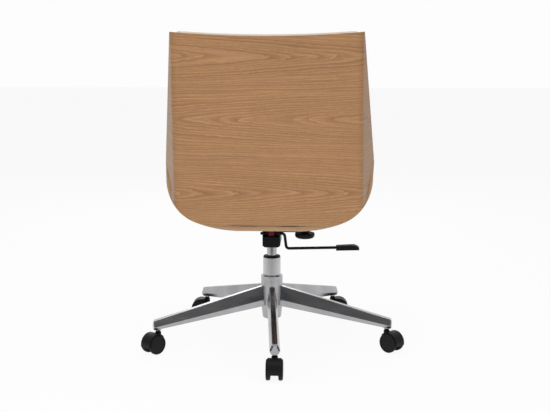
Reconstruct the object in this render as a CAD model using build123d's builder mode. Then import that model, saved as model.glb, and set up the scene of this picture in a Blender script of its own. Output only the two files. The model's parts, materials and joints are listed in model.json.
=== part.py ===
from build123d import *
from math import cos, pi, radians, sin, sqrt, tan
import os

os.makedirs("parts", exist_ok=True)

# A low-backed swivel chair: two bent plywood shells on a tilting gas-lift column and a base on casters.
# Millimetres. The floor is Z 0 under the column, the sitter faces -Y and has -X at the right hand.

# Gaps
running_gap = 0.05  # radial gap of a shaft that turns or slides in its hole
rest_gap = 0.3  # gap between pieces that rest on or move past each other

# Casters
wheel_d = 55.0
wheel_w = 11.5
wheel_spread = 21.0  # between the inner faces of a caster's two wheels
tread_round = 3.5
wheel_rim = 5.0
wheel_web = 4.0
face_dish = 0.8
wheel_hub_d = 22.0
hood_gap = 0.8
hood_wall = 1.7
hood_short = 4.0  # how much of each wheel stands out past the hood
hood_back = -13.0  # where the hood ends behind the wheels, in degrees from level
hood_front = 140.0
web_w = 14.0
axle_boss_d = 24.0
trail = 18.0
axle_d = 6.0
axle_inset = 3.0
stem_d = 11.0
stem_boss_d = 17.0
stem_boss_h = 26.0
stem_root = 20.0
stem_grip = 20.0
stem_point = 1.5
neck_d = 13.0
neck_h = 7.0
caster_headings = (90.0, 139.0, 180.0, 0.0, 50.0)  # the way each caster's hood points

# Base
leg_count = 5
leg_turn = 94.0  # the rear leg's direction
stem_circle_r = 336.0
tip_overhang = 13.0
tip_chamfer = 4.0
leg_flat_w = 15.0
leg_w = 28.0
leg_foot_w = 20.0
leg_round = 1.8
leg_wall = 4.0
tip_h = 26.5
tip_lower_h = 9.0  # height of the leg's lower facet at the tip
root_h = 62.0
root_lower_h = 21.0
leg_rise = 81.0
stem_seat_d = 20.0
hub_d = 62.0
hub_foot_d = 53.0
hub_collar_h = 25.0
hub_skirt_h = 40.0
hub_round = 3.0

# Column
tube_d = 50.0
tube_foot_d = 46.8
tube_wall = 2.0
tube_floor = 4.0
tube_show = 50.0
tube_inset = 2.0
taper_start = 5.0  # below the hub's rim
bush_h = 72.0
collar_h = 5.0
collar_d = 48.0
collar_round = 2.0
cylinder_d = 28.0
cylinder_top_d = 26.4
cylinder_wall = 2.0
cylinder_show = 28.0
lift_travel = 95.0
rod_d = 10.0
spigot_d = 8.0
rod_groove = 0.8
rod_tail = 4.0
clip_h = 1.5
clip_d = 14.0
clip_slot = 4.0
race_d = 22.0
race_h = 2.0
ball_d = 3.0
ball_count = 10
stop_d = 24.0
stop_h = 12.7
gland_h = 14.0
piston_h = 12.0
piston_spare = 16.0
head_room = 20.0
valve_d = 6.0
valve_depth = 27.0
valve_stand = 5.0

# Mechanism
housing_w = 50.0
housing_wall = 3.0
housing_front = 70.0
housing_rim = 6.0
housing_side_h = 65.0  # at the front
back_wall_h = 31.0
socket_h = 38.0
socket_wall = 4.0
plate_lift = 73.0  # from the housing's foot to the seat plate
plate_t = 3.0
plate_w = 230.0
plate_front = 110.0
plate_rear = 90.0
plate_round = 15.0
pivot_ahead = 40.0
pivot_drop = 15.0
tilt_max = 12.0
tilt_spare = 3.0
pin_d = 10.0
pivot_bush_wall = 2.0
ear_gap = 1.0
ear_t = 3.0
ear_r = 13.0
pin_clip_h = 1.2
pin_clip_d = 16.0
pin_end = 1.5
bolt_d = 6.0
bolt_head_d = 11.0
bolt_head_h = 4.0
bolt_spread_x = 120.0
bolt_front = 80.0
bolt_rear = 60.0
tee_nut_d = 9.0
tee_nut_h = 10.0
tee_flange_d = 18.0
tee_flange_h = 1.5

# Height lever
lever_d = 8.0
lever_rise = 40.0  # of its shaft above the housing's foot
lever_max = 8.0
lever_pin_d = 4.0
lever_pin_x = 18.0
lever_lug_t = 3.0
lever_gap = 0.6
lever_tail = 31.0
lever_elbow = 37.0
lever_drop = 43.0
lever_slant = 5.5
lever_end = 190.0
lever_climb = 4.0
lever_bend_r = 9.0
grip_start = 183.0
grip_l = 65.0
grip_w = 26.0
grip_h = 14.0
grip_crest = 46.0  # where its back starts to fall to the tip
grip_rise = 1.5
grip_tip = 6.0
grip_round = 2.0
rocker_w = 16.0
rocker_arm_w = 12.0
rocker_arm_t = 6.0
rocker_wall = 2.0
rocker_reach = 5.0

# Tension knob
knob_side = 94.0
knob_d = 56.0
knob_foot_d = 40.0
knob_h = 15.0
knob_rim = 6.0
knob_round = 2.0
knob_neck_d = 23.0
knob_neck_h = 3.7
arm_rise = 42.0  # of the side arm's underside above the housing's foot
arm_t = 4.0
screw_d = 10.0
screw_stand = 15.0
nut_w = 23.0
nut_h = 4.0
lip_t = 3.0
lip_h = 10.0
spring_d = 22.0
spring_wire = 2.5
spring_turns = 3
coil_samples = 180

# Seat shell
shell_t = 14.0
seat_flat = 76.0  # half the level part of the tray
seat_bend_r = 340.0
seat_bend = 20.5
corner_r = 128.0
arm_lean = 4.0
seat_rear = 184.0
seat_front = 285.0
notch_rise = 42.0  # where the tray's rear edge starts to lean forward
notch_round = 60.0
arm_rise_z = 187.0  # of the arm's rear corner above the tray's underside
arm_back = 126.0
arm_round = 12.0
arm_mid_y = -90.0
arm_mid_rise = 149.0
front_rise = 64.0
front_round = 25.0

# Back shell
back_t = 12.0
recline = 9.0
back_foot_y = 200.0
back_foot_rise = 18.0
back_h = 504.0
top_dip = 9.0  # how far the top edge sinks between its corners
face_half_foot = 237.0  # half the flat face, at the foot and at the top
face_half_top = 230.0
wing_bend_r = 16.0
wing_flare = 20.0
wing_seam = 3.0
wing_top_y = 266.0
wing_top_h = 512.0
wing_round = 15.0
back_corner_r = 126.0
back_corner_x = 147.0

# Brackets between the shells
bracket_w = 40.0
bracket_t = 4.0
bracket_x = 55.0
bracket_foot = 72.0
bracket_h = 70.0
screw_shank_d = 4.0
screw_shank_l = 9.0
screw_head_d = 8.5
screw_head_h = 2.5
bracket_screw_foot = (20.0, 52.0)  # along the bracket's foot and up its stem
bracket_screw_stem = (24.0, 54.0)

# Cushions
cushion_gap = 0.4
seat_pad_h = 85.0  # of the crown above the tray's floor
seat_pad_edge_h = 76.0
seat_pad_side = 55.0  # how far up the corner bend the pad reaches, in degrees
seat_pad_draw = 9.0
seat_pad_front = 288.0
seat_pad_rear = 166.0
seat_pad_nose = 33.0
seat_pad_heel = 20.0
seat_pad_end_drop = 10.0
back_pad_t = 52.0
back_pad_edge_t = 38.0
back_pad_foot = 78.0
back_pad_top = 1.0  # above the middle of the back shell's top edge
back_pad_wrap = 70.0  # how far the pad follows the wing's bend, in degrees
back_pad_draw = 12.0
back_pad_end_t = 22.0
back_pad_steps = 8

# Heights, from the floor up
wheel_r = wheel_d / 2
hood_r = wheel_r + hood_gap + hood_wall
hood_w = wheel_spread + 2 * (wheel_w - hood_short)
hood_top = wheel_r + hood_r
tip_z = hood_top + neck_h
tip_top_z = tip_z + tip_h
leg_top_z = tip_top_z + leg_rise
leg_low_z = leg_top_z - root_h
hub_top_z = leg_top_z + hub_collar_h
hub_low_z = leg_low_z - hub_skirt_h
tube_low_z = hub_low_z + tube_inset
tube_top_z = hub_top_z + tube_show
taper_z = hub_top_z - taper_start
collar_top_z = tube_top_z + collar_h
race_z = tube_low_z + tube_floor
balls_z = race_z + race_h
upper_race_z = balls_z + ball_d
stop_z = upper_race_z + race_h
cylinder_z = stop_z + stop_h + rest_gap
gland_top_z = cylinder_z + gland_h
piston_z = gland_top_z + lift_travel + piston_spare
piston_top_z = piston_z + piston_h
cavity_top_z = piston_top_z + head_room
housing_z = collar_top_z + cylinder_show
socket_top_z = housing_z + socket_h
valve_top_z = socket_top_z + valve_stand
plate_z = housing_z + plate_lift
pivot_z = plate_z - pivot_drop
lever_z = housing_z + lever_rise
arm_z = housing_z + arm_rise
arm_top_z = arm_z + arm_t
nut_z = arm_top_z + rest_gap
spring_z = nut_z + nut_h + rest_gap
seat_z = plate_z + plate_t
floor_z = seat_z + shell_t
back_z = seat_z + back_foot_rise

# Places that several pieces share
socket_r = cylinder_d / 2 + socket_wall
lever_r = lever_d / 2
lever_y = socket_r + lever_r + 2
housing_rear = lever_y + lever_r + rocker_wall + housing_wall + 1
housing_half = housing_w / 2
inner_half = housing_half - housing_wall
ear_in = housing_half + ear_gap
ear_out = ear_in + ear_t
bush_in = housing_half + rest_gap
bush_out = ear_out + rest_gap
pin_clip_x = bush_out + rest_gap
pin_half = pin_clip_x + pin_clip_h + pin_end
lean = radians(recline)
bolt_points = [(x, y) for x in (-bolt_spread_x / 2, bolt_spread_x / 2) for y in (-bolt_front, bolt_rear)]
knob_top_z = arm_z - rest_gap - knob_neck_h
knob_low_z = knob_top_z - knob_h
screw_top_z = arm_top_z + screw_stand
up = Plane.XY


def save(name, part):
    part.label = name
    export_step(part, f"parts/{name}.step")


def caster_plane(index):
    # upright plane in a caster's middle: origin on the floor under the stem, x towards the hood, y up
    bearing = radians(leg_turn + 360 / leg_count * index)
    heading = radians(caster_headings[index])
    return Plane(
        origin=(stem_circle_r * cos(bearing), stem_circle_r * sin(bearing), 0),
        x_dir=(cos(heading), sin(heading), 0),
        z_dir=(sin(heading), -cos(heading), 0),
    )


def leg_plane(index, radius):
    # upright plane across a leg: x across the leg, y up
    bearing = radians(leg_turn + 360 / leg_count * index)
    return Plane(
        origin=(radius * cos(bearing), radius * sin(bearing), 0),
        x_dir=(-sin(bearing), cos(bearing), 0),
        z_dir=(cos(bearing), sin(bearing), 0),
    )


def leg_section(top, low, lower_h, shrink):
    # six-sided section of a leg, taken in by the same amount all round
    flat = leg_flat_w / 2 - shrink
    waist = leg_w / 2 - shrink
    foot = leg_foot_w / 2 - shrink
    return [
        (flat, top - shrink),
        (-flat, top - shrink),
        (-waist, low + lower_h),
        (-foot, low),
        (foot, low),
        (waist, low + lower_h),
    ]


def leg_levels(radius):
    # top, bottom and lower facet height of a leg at this distance from the column
    share = radius / (stem_circle_r + tip_overhang)
    top = leg_top_z + (tip_top_z - leg_top_z) * share
    low = leg_low_z + (tip_z - leg_low_z) * share
    return top, low, root_lower_h + (tip_lower_h - root_lower_h) * share


def ring(inner_r, outer_r, low, high):
    # half section of a plain ring, for turning about the column's axis
    with BuildSketch() as face:
        with BuildLine():
            Polyline((inner_r, low), (outer_r, low), (outer_r, high), (inner_r, high), close=True)
        make_face()
    return face.sketch


def tray_arcs(skin, end=90 - arm_lean):
    # the two bends on the tray's +X side, this far inside its outer face, up to this slope
    turn = radians(seat_bend)
    step = seat_bend_r - corner_r
    first = (seat_flat, seat_z + seat_bend_r)
    second = (first[0] + step * sin(turn), first[1] - step * cos(turn))
    bend = CenterArc(first, seat_bend_r - skin, -90, seat_bend)
    corner = CenterArc(second, corner_r - skin, seat_bend - 90, end - seat_bend)
    return bend, corner


def tray_corner_point(skin, angle):
    # point on the tray's corner bend at this slope
    turn = radians(seat_bend)
    step = seat_bend_r - corner_r
    radius = corner_r - skin
    x = seat_flat + step * sin(turn) + radius * sin(radians(angle))
    return x, seat_z + seat_bend_r - step * cos(turn) - radius * cos(radians(angle))


def back_plane(height):
    # plane square to the back at this height along it: x across, y to the rear
    origin = (0, back_foot_y + height * sin(lean), back_z + height * cos(lean))
    return Plane(origin=origin, x_dir=(1, 0, 0), z_dir=(0, sin(lean), cos(lean)))


def face_half(height):
    return face_half_foot + (face_half_top - face_half_foot) * height / back_h


def coil_path(radius, low, rise, turns):
    # a coil in quarter turns, each drawn as two arcs that meet in line
    slope = rise / (2 * pi * turns)
    length = sqrt(radius**2 + slope**2)
    ends = []
    for step in range(4 * turns + 1):
        angle = step * pi / 2
        point = Vector(radius * cos(angle), radius * sin(angle), low + slope * angle)
        way = Vector(-radius * sin(angle), radius * cos(angle), slope) / length
        ends.append((point, way))
    for (start, leave), (stop, arrive) in zip(ends, ends[1:]):
        chord = stop - start
        along = chord.dot(leave + arrive)
        spread = 2 * (1 - leave.dot(arrive))
        reach = (sqrt(along**2 + spread * chord.dot(chord)) - along) / spread
        middle = (start + stop + (leave - arrive) * reach) / 2
        TangentArc(start, middle, tangent=leave)
        TangentArc(middle, stop, tangent=stop - arrive * reach - start - leave * reach)


# Star base: a hub with five hollow legs
with BuildPart() as star_base:
    with BuildSketch(Plane.XZ):
        with BuildLine():
            Polyline(
                (0, hub_low_z),
                (hub_foot_d / 2 - hub_round, hub_low_z),
                (hub_foot_d / 2, hub_low_z + hub_round),
                (hub_d / 2, leg_low_z),
                (hub_d / 2, hub_top_z - hub_round),
                (hub_d / 2 - hub_round, hub_top_z),
                (0, hub_top_z),
                close=True,
            )
        make_face()
    revolve(axis=Axis.Z)
    for index in range(leg_count):
        tip_r = stem_circle_r + tip_overhang
        for radius, shrink in ((0, 0), (tip_r - tip_chamfer, 0), (tip_r, tip_chamfer)):
            with BuildSketch(leg_plane(index, radius)) as section:
                Polygon(*leg_section(*leg_levels(radius), shrink), align=None)
                fillet(section.vertices(), leg_round)
        loft(ruled=True)
    for index in range(leg_count):
        with BuildSketch(up.offset(tip_z)):
            with Locations(caster_plane(index).origin):
                Circle(stem_seat_d / 2)
        extrude(amount=tip_h / 2)
        for radius in (hub_d / 2 + leg_wall, stem_circle_r - stem_seat_d / 2 - leg_wall):
            top, low, lower_h = leg_levels(radius)
            with BuildSketch(leg_plane(index, radius)):
                Polygon(*leg_section(top, low - leg_wall, lower_h + leg_wall, leg_wall), align=None)
        loft(ruled=True, mode=Mode.SUBTRACT)
        with BuildSketch(up.offset(tip_z)):
            with Locations(caster_plane(index).origin):
                Circle(stem_d / 2 + running_gap)
        extrude(amount=stem_grip + rest_gap, mode=Mode.SUBTRACT)
    with BuildSketch(Plane.XZ):
        with BuildLine():
            Polyline(
                (0, hub_low_z),
                (tube_foot_d / 2, hub_low_z),
                (tube_foot_d / 2, tube_low_z),
                (tube_d / 2, taper_z),
                (tube_d / 2, hub_top_z),
                (0, hub_top_z),
                close=True,
            )
        make_face()
    revolve(axis=Axis.Z, mode=Mode.SUBTRACT)
save("star_base", star_base.part)

# Column tube: tapered foot wedged in the hub, with a floor that carries the bearing
with BuildPart() as column_tube:
    with BuildSketch(Plane.XZ):
        with BuildLine():
            Polyline(
                (spigot_d / 2 + running_gap, tube_low_z),
                (tube_foot_d / 2, tube_low_z),
                (tube_d / 2, taper_z),
                (tube_d / 2, tube_top_z),
                (tube_d / 2 - tube_wall, tube_top_z),
                (tube_d / 2 - tube_wall, taper_z),
                (tube_foot_d / 2 - tube_wall, race_z),
                (spigot_d / 2 + running_gap, race_z),
                close=True,
            )
        make_face()
    revolve(axis=Axis.Z)
save("column_tube", column_tube.part)

# Guide bush: plastic sleeve that the gas cylinder slides and turns in
bush_low_z = max(tube_top_z - bush_h, taper_z)
with BuildPart() as guide_bush:
    with BuildSketch(Plane.XZ):
        add(ring(cylinder_d / 2 + running_gap, tube_d / 2 - tube_wall, bush_low_z, tube_top_z))
    revolve(axis=Axis.Z)
save("guide_bush", guide_bush.part)

# Collar: black ring on the tube's rim
with BuildPart() as tube_collar:
    with BuildSketch(Plane.XZ):
        add(ring(cylinder_d / 2 + rest_gap, collar_d / 2, tube_top_z, collar_top_z))
    revolve(axis=Axis.Z)
    rim = tube_collar.edges().filter_by(GeomType.CIRCLE).group_by(Axis.Z)[-1]
    fillet(rim.sort_by(SortBy.RADIUS)[-1], collar_round)
save("tube_collar", tube_collar.part)

# Thrust bearing: two races and a ring of balls
for name, low in (("thrust_race_lower", race_z), ("thrust_race_upper", upper_race_z)):
    with BuildPart() as race:
        with BuildSketch(Plane.XZ):
            add(ring(spigot_d / 2 + running_gap, race_d / 2, low, low + race_h))
        revolve(axis=Axis.Z)
    save(name, race.part)

with BuildPart() as thrust_balls:
    with Locations((0, 0, balls_z + ball_d / 2)):
        with PolarLocations((race_d + spigot_d) / 4, ball_count):
            Sphere(ball_d / 2 - running_gap)
save("thrust_balls", thrust_balls.part)

# Piston rod: stands on the upper race and carries the piston
rod_low_z = tube_low_z - rest_gap - clip_h - rod_tail
clip_z = tube_low_z - rest_gap - clip_h
groove_r = spigot_d / 2 - rod_groove
with BuildPart() as piston_rod:
    with BuildSketch(Plane.XZ):
        with BuildLine():
            Polyline(
                (0, rod_low_z),
                (spigot_d / 2, rod_low_z),
                (spigot_d / 2, clip_z),
                (groove_r, clip_z),
                (groove_r, clip_z + clip_h),
                (spigot_d / 2, clip_z + clip_h),
                (spigot_d / 2, stop_z),
                (rod_d / 2, stop_z),
                (rod_d / 2, piston_z),
                (spigot_d / 2, piston_z),
                (spigot_d / 2, piston_top_z),
                (0, piston_top_z),
                close=True,
            )
        make_face()
    revolve(axis=Axis.Z)
save("piston_rod", piston_rod.part)

# Rod clip: slotted ring under the tube's floor
with BuildPart() as rod_clip:
    with BuildSketch(up.offset(clip_z)):
        Circle(clip_d / 2)
        Circle(groove_r, mode=Mode.SUBTRACT)
        Rectangle(clip_d, clip_slot, align=(Align.MIN, Align.CENTER), mode=Mode.SUBTRACT)
    extrude(amount=clip_h)
save("rod_clip", rod_clip.part)

# Rubber stop under the cylinder
with BuildPart() as bump_stop:
    with BuildSketch(Plane.XZ):
        add(ring(rod_d / 2 + running_gap, stop_d / 2, stop_z, stop_z + stop_h))
    revolve(axis=Axis.Z)
save("bump_stop", bump_stop.part)

with BuildPart() as piston:
    with BuildSketch(Plane.XZ):
        add(ring(spigot_d / 2, cylinder_d / 2 - cylinder_wall - running_gap, piston_z, piston_top_z))
    revolve(axis=Axis.Z)
save("piston", piston.part)

# Gas cylinder: closed above, with a tapered nose and a bore for the valve pin
with BuildPart() as gas_cylinder:
    with BuildSketch(Plane.XZ):
        with BuildLine():
            Polyline(
                (cylinder_d / 2 - cylinder_wall, cylinder_z),
                (cylinder_d / 2, cylinder_z),
                (cylinder_d / 2, housing_z),
                (cylinder_top_d / 2, socket_top_z),
                (valve_d / 2 + running_gap, socket_top_z),
                (valve_d / 2 + running_gap, cavity_top_z),
                (cylinder_d / 2 - cylinder_wall, cavity_top_z),
                close=True,
            )
        make_face()
    revolve(axis=Axis.Z)
save("gas_cylinder", gas_cylinder.part)

with BuildPart() as rod_gland:
    with BuildSketch(Plane.XZ):
        add(ring(rod_d / 2 + running_gap, cylinder_d / 2 - cylinder_wall, cylinder_z, gland_top_z))
    revolve(axis=Axis.Z)
save("rod_gland", rod_gland.part)

# Valve pin with a round head
with BuildPart() as valve_pin:
    with BuildSketch(up.offset(socket_top_z - valve_depth)):
        Circle(valve_d / 2)
    extrude(amount=valve_depth + valve_stand - valve_d / 2)
    with Locations((0, 0, valve_top_z - valve_d / 2)):
        Sphere(valve_d / 2)
save("valve_pin", valve_pin.part)

# Mechanism housing: pressed channel, open above, with a tapered socket and a side arm for the tension spring
lever_sweep = sin(radians(lever_max))
near_rise = (housing_half - lever_pin_x) * lever_sweep + lever_gap
far_fall = (housing_half + lever_pin_x) * lever_sweep + lever_gap
housing_rear_h = plate_lift - (housing_rear + pivot_ahead) * tan(radians(tilt_max)) - tilt_spare
lip_half = nut_w / 2 + rest_gap
with BuildPart() as mechanism_housing:
    with BuildSketch(Plane.YZ):
        with BuildLine():
            Polyline(
                (-housing_front, housing_z),
                (housing_rear, housing_z),
                (housing_rear, housing_z + housing_rear_h),
                (-pivot_ahead, housing_z + housing_side_h),
                (-housing_front, housing_z + housing_side_h),
                close=True,
            )
        make_face()
    extrude(amount=housing_half, both=True)
    chamfer(mechanism_housing.edges().group_by(Axis.Z)[0], housing_rim)
    with BuildSketch(up.offset(housing_z + housing_rim)):
        with Locations((0, (housing_rear - housing_front) / 2)):
            Rectangle(2 * inner_half, housing_rear + housing_front - 2 * housing_wall)
    extrude(amount=housing_side_h, mode=Mode.SUBTRACT)
    with BuildSketch(Plane.XZ.offset(-housing_rear)):
        with Locations((0, housing_z + back_wall_h)):
            Rectangle(2 * inner_half, housing_side_h, align=(Align.CENTER, Align.MIN))
    extrude(amount=housing_wall, mode=Mode.SUBTRACT)
    with BuildSketch(up.offset(housing_z)):
        Circle(socket_r)
    extrude(amount=socket_h)
    with BuildSketch(Plane.XZ):
        with BuildLine():
            Polyline(
                (0, housing_z),
                (cylinder_d / 2, housing_z),
                (cylinder_top_d / 2, socket_top_z),
                (0, socket_top_z),
                close=True,
            )
        make_face()
    revolve(axis=Axis.Z, mode=Mode.SUBTRACT)
    # lug and hole for the lever's pin, and the slots that the lever moves in
    lug_y = lever_y - lever_r - lever_gap - lever_lug_t
    lug_l = inner_half - lever_pin_x + lever_pin_d
    with BuildSketch(Plane.XZ.offset(-lug_y)):
        with Locations((-inner_half, lever_z)):
            Rectangle(lug_l, 2 * lever_pin_d, align=(Align.MIN, Align.CENTER))
    extrude(amount=-lever_lug_t)
    with BuildSketch(Plane.XZ.offset(-housing_rear)):
        with Locations((-inner_half, lever_z)):
            Rectangle(lug_l, 2 * lever_pin_d, align=(Align.MIN, Align.CENTER))
    extrude(amount=housing_wall)
    with BuildSketch(Plane.XZ.offset(-housing_rear)):
        with Locations((-lever_pin_x, lever_z)):
            Circle(lever_pin_d / 2)
    extrude(amount=housing_rear - lug_y, mode=Mode.SUBTRACT)
    for side, fall, rise in ((-1, lever_gap, near_rise), (1, far_fall, lever_gap)):
        with BuildSketch(Plane.YZ.offset(side * housing_half)):
            with Locations((lever_y, lever_z - lever_r - fall)):
                Rectangle(lever_d + 2 * lever_gap, lever_d + fall + rise, align=(Align.CENTER, Align.MIN))
        extrude(amount=-side * housing_wall, mode=Mode.SUBTRACT)
    # tilt pin holes
    with BuildSketch(Plane.YZ):
        with Locations((-pivot_ahead, pivot_z)):
            Circle(pin_d / 2)
    extrude(amount=housing_half, both=True, mode=Mode.SUBTRACT)
    # side arm with two upright lips that keep the spring nut from turning
    arm_half = lip_half + lip_t
    with BuildSketch(up.offset(arm_z)):
        with BuildLine():
            Polyline((-inner_half, -arm_half), (-knob_side, -arm_half))
            CenterArc((-knob_side, 0), arm_half, 90, 180)
            Polyline((-knob_side, arm_half), (-inner_half, arm_half), (-inner_half, -arm_half))
        make_face()
    extrude(amount=arm_t)
    with BuildSketch(up.offset(arm_top_z)):
        with Locations((-knob_side, lip_half + lip_t / 2), (-knob_side, -lip_half - lip_t / 2)):
            Rectangle(nut_w, lip_t)
    extrude(amount=lip_h)
    with BuildSketch(up.offset(arm_z)):
        with Locations((-knob_side, 0)):
            Circle(screw_d / 2 + running_gap)
    extrude(amount=arm_t, mode=Mode.SUBTRACT)
save("mechanism_housing", mechanism_housing.part)

# Tilt pin with a groove at each end, its clips and the ears' bushes
pivot_plane = Plane(origin=(0, -pivot_ahead, pivot_z), x_dir=(0, 1, 0), z_dir=(1, 0, 0))
with BuildPart() as tilt_pin:
    with BuildSketch(pivot_plane):
        Circle(pin_d / 2)
    extrude(amount=pin_half, both=True)
    for side in (-1, 1):
        with BuildSketch(pivot_plane.offset(side * pin_clip_x)):
            Circle(pin_d / 2)
            Circle(pin_d / 2 - rod_groove, mode=Mode.SUBTRACT)
        extrude(amount=side * pin_clip_h, mode=Mode.SUBTRACT)
save("tilt_pin", tilt_pin.part)

with BuildPart() as pin_clips:
    for side in (-1, 1):
        with BuildSketch(pivot_plane.offset(side * pin_clip_x)):
            Circle(pin_clip_d / 2)
            Circle(pin_d / 2 - rod_groove, mode=Mode.SUBTRACT)
            Rectangle(pin_clip_d, clip_slot, align=(Align.MIN, Align.CENTER), mode=Mode.SUBTRACT)
        extrude(amount=side * pin_clip_h)
save("pin_clips", pin_clips.part)

pivot_bush_r = pin_d / 2 + running_gap + pivot_bush_wall
with BuildPart() as pivot_bushes:
    for side in (-1, 1):
        with BuildSketch(pivot_plane.offset(side * bush_in)):
            Circle(pivot_bush_r)
            Circle(pin_d / 2 + running_gap, mode=Mode.SUBTRACT)
        extrude(amount=side * (bush_out - bush_in))
save("pivot_bushes", pivot_bushes.part)

# Seat plate: flat plate with two ears that hang beside the housing
with BuildPart() as seat_plate:
    with BuildSketch(up.offset(plate_z)) as outline:
        with Locations((0, (plate_rear - plate_front) / 2)):
            RectangleRounded(plate_w, plate_front + plate_rear, plate_round)
        with Locations(*bolt_points):
            Circle(bolt_d / 2, mode=Mode.SUBTRACT)
    extrude(amount=plate_t)
    for side in (-1, 1):
        with BuildSketch(Plane.YZ.offset(side * ear_in)):
            with Locations((-pivot_ahead, pivot_z)):
                Circle(ear_r)
                Rectangle(2 * ear_r, pivot_drop, align=(Align.CENTER, Align.MIN))
                Circle(pivot_bush_r, mode=Mode.SUBTRACT)
        extrude(amount=side * ear_t)
save("seat_plate", seat_plate.part)

# Bolts from below and the tee nuts that they screw into
with BuildPart() as seat_bolts:
    with BuildSketch(up.offset(plate_z - bolt_head_h)):
        with Locations(*bolt_points):
            RegularPolygon(bolt_head_d / 2, 6)
    extrude(amount=bolt_head_h)
    with BuildSketch(up.offset(plate_z)):
        with Locations(*bolt_points):
            Circle(bolt_d / 2)
    extrude(amount=plate_t + shell_t - rest_gap)
save("seat_bolts", seat_bolts.part)

with BuildPart() as tee_nuts:
    with BuildSketch(up.offset(floor_z - tee_nut_h)):
        with Locations(*bolt_points):
            Circle(tee_nut_d / 2)
    extrude(amount=tee_nut_h)
    with BuildSketch(up.offset(floor_z - tee_flange_h)):
        with Locations(*bolt_points):
            Circle(tee_flange_d / 2)
    extrude(amount=tee_flange_h)
    with BuildSketch(up.offset(floor_z - tee_nut_h)):
        with Locations(*bolt_points):
            Circle(bolt_d / 2)
    extrude(amount=tee_nut_h, mode=Mode.SUBTRACT)
save("tee_nuts", tee_nuts.part)

# Height lever: bent rod through the housing, hung on a pin
lever_plane = Plane.XZ.offset(-lever_y)
lever_foot_z = lever_z - lever_drop
with BuildPart() as height_lever:
    with BuildLine(lever_plane) as route:
        FilletPolyline(
            (lever_tail, lever_z),
            (-lever_elbow, lever_z),
            (-lever_elbow - lever_slant, lever_foot_z),
            (-lever_end, lever_foot_z + lever_climb),
            radius=lever_bend_r,
        )
    with BuildSketch(Plane(origin=route.line @ 0, z_dir=route.line % 0)):
        Circle(lever_r)
    sweep()
    with BuildSketch(lever_plane):
        with Locations((-lever_pin_x, lever_z)):
            Circle(lever_pin_d / 2 + running_gap)
    extrude(amount=lever_d, both=True, mode=Mode.SUBTRACT)
save("height_lever", height_lever.part)

with BuildPart() as lever_pin:
    with BuildSketch(Plane.XZ.offset(-housing_rear)):
        with Locations((-lever_pin_x, lever_z)):
            Circle(lever_pin_d / 2)
    extrude(amount=housing_rear - lug_y)
save("lever_pin", lever_pin.part)

# Grip: rounded paddle pushed over the rod's end
climb_angle = lever_climb / (lever_end - lever_elbow - lever_slant)
grip_z = lever_foot_z + climb_angle * (grip_start - lever_elbow - lever_slant)
grip_plane = Plane(
    origin=(-grip_start, lever_y, grip_z),
    x_dir=(-1, 0, climb_angle),
    z_dir=(0, 1, 0),
)
with BuildPart() as lever_grip:
    with BuildSketch(grip_plane):
        with BuildLine():
            Polyline(
                (grip_crest, grip_h / 2),
                (0, grip_h / 2 - grip_rise),
                (0, -grip_h / 2),
                (grip_l, -grip_h / 2),
                (grip_l, grip_tip - grip_h / 2),
            )
            TangentArc(
                (grip_crest, grip_h / 2),
                (grip_l, grip_tip - grip_h / 2),
                tangent=(grip_crest, grip_rise),
            )
        make_face()
    extrude(amount=grip_w / 2, both=True)
    fillet(lever_grip.faces().sort_by(Axis.Y)[0].edges(), grip_round)
    fillet(lever_grip.faces().sort_by(Axis.Y)[-1].edges(), grip_round)
    add(height_lever.part, mode=Mode.SUBTRACT)
save("lever_grip", lever_grip.part)

# Release rocker: red block on the rod with an arm over the valve pin
rocker_arm_z = valve_top_z + rest_gap
rocker_low_y = lever_y - lever_r - rocker_wall / 2
rocker_high_y = lever_y + lever_r + rocker_wall
with BuildPart() as release_rocker:
    with BuildSketch(Plane.YZ):
        with BuildLine():
            Polyline(
                (rocker_high_y, lever_z - lever_r - rocker_wall),
                (rocker_high_y, rocker_arm_z + rocker_arm_t),
                (rocker_low_y, rocker_arm_z + rocker_arm_t),
                (rocker_low_y, lever_z - lever_r - rocker_wall),
                close=True,
            )
        make_face()
    extrude(amount=rocker_w / 2, both=True)
    with BuildSketch(up.offset(rocker_arm_z)):
        with Locations((0, -rocker_reach)):
            Rectangle(rocker_arm_w, rocker_low_y + rocker_reach, align=(Align.CENTER, Align.MIN))
    extrude(amount=rocker_arm_t)
    with BuildSketch(Plane.YZ):
        with Locations((lever_y, lever_z)):
            Circle(lever_r)
    extrude(amount=rocker_w, both=True, mode=Mode.SUBTRACT)
save("release_rocker", release_rocker.part)

# Tension knob: mushroom with a flat top and a bowl-shaped underside
knob_axis = Axis((-knob_side, 0, 0), (0, 0, 1))
knob_plane = Plane(origin=(-knob_side, 0, 0), x_dir=(1, 0, 0), z_dir=(0, -1, 0))
with BuildPart() as tension_knob:
    with BuildSketch(knob_plane):
        with BuildLine():
            Polyline(
                (knob_foot_d / 2, knob_low_z),
                (0, knob_low_z),
                (0, knob_top_z + knob_neck_h),
                (knob_neck_d / 2, knob_top_z + knob_neck_h),
                (knob_neck_d / 2, knob_top_z),
                (knob_d / 2, knob_top_z),
                (knob_d / 2, knob_top_z - knob_rim),
            )
            TangentArc((knob_d / 2, knob_top_z - knob_rim), (knob_foot_d / 2, knob_low_z), tangent=(0, -1))
        make_face()
    revolve(axis=knob_axis)
    rim = tension_knob.edges().filter_by(GeomType.CIRCLE).group_by(SortBy.RADIUS)[-1]
    fillet(rim.sort_by(Axis.Z)[-1], knob_round)
    with BuildSketch(up.offset(knob_low_z + knob_rim)):
        with Locations((-knob_side, 0)):
            Circle(screw_d / 2)
    extrude(amount=knob_h + knob_neck_h, mode=Mode.SUBTRACT)
save("tension_knob", tension_knob.part)

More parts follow.
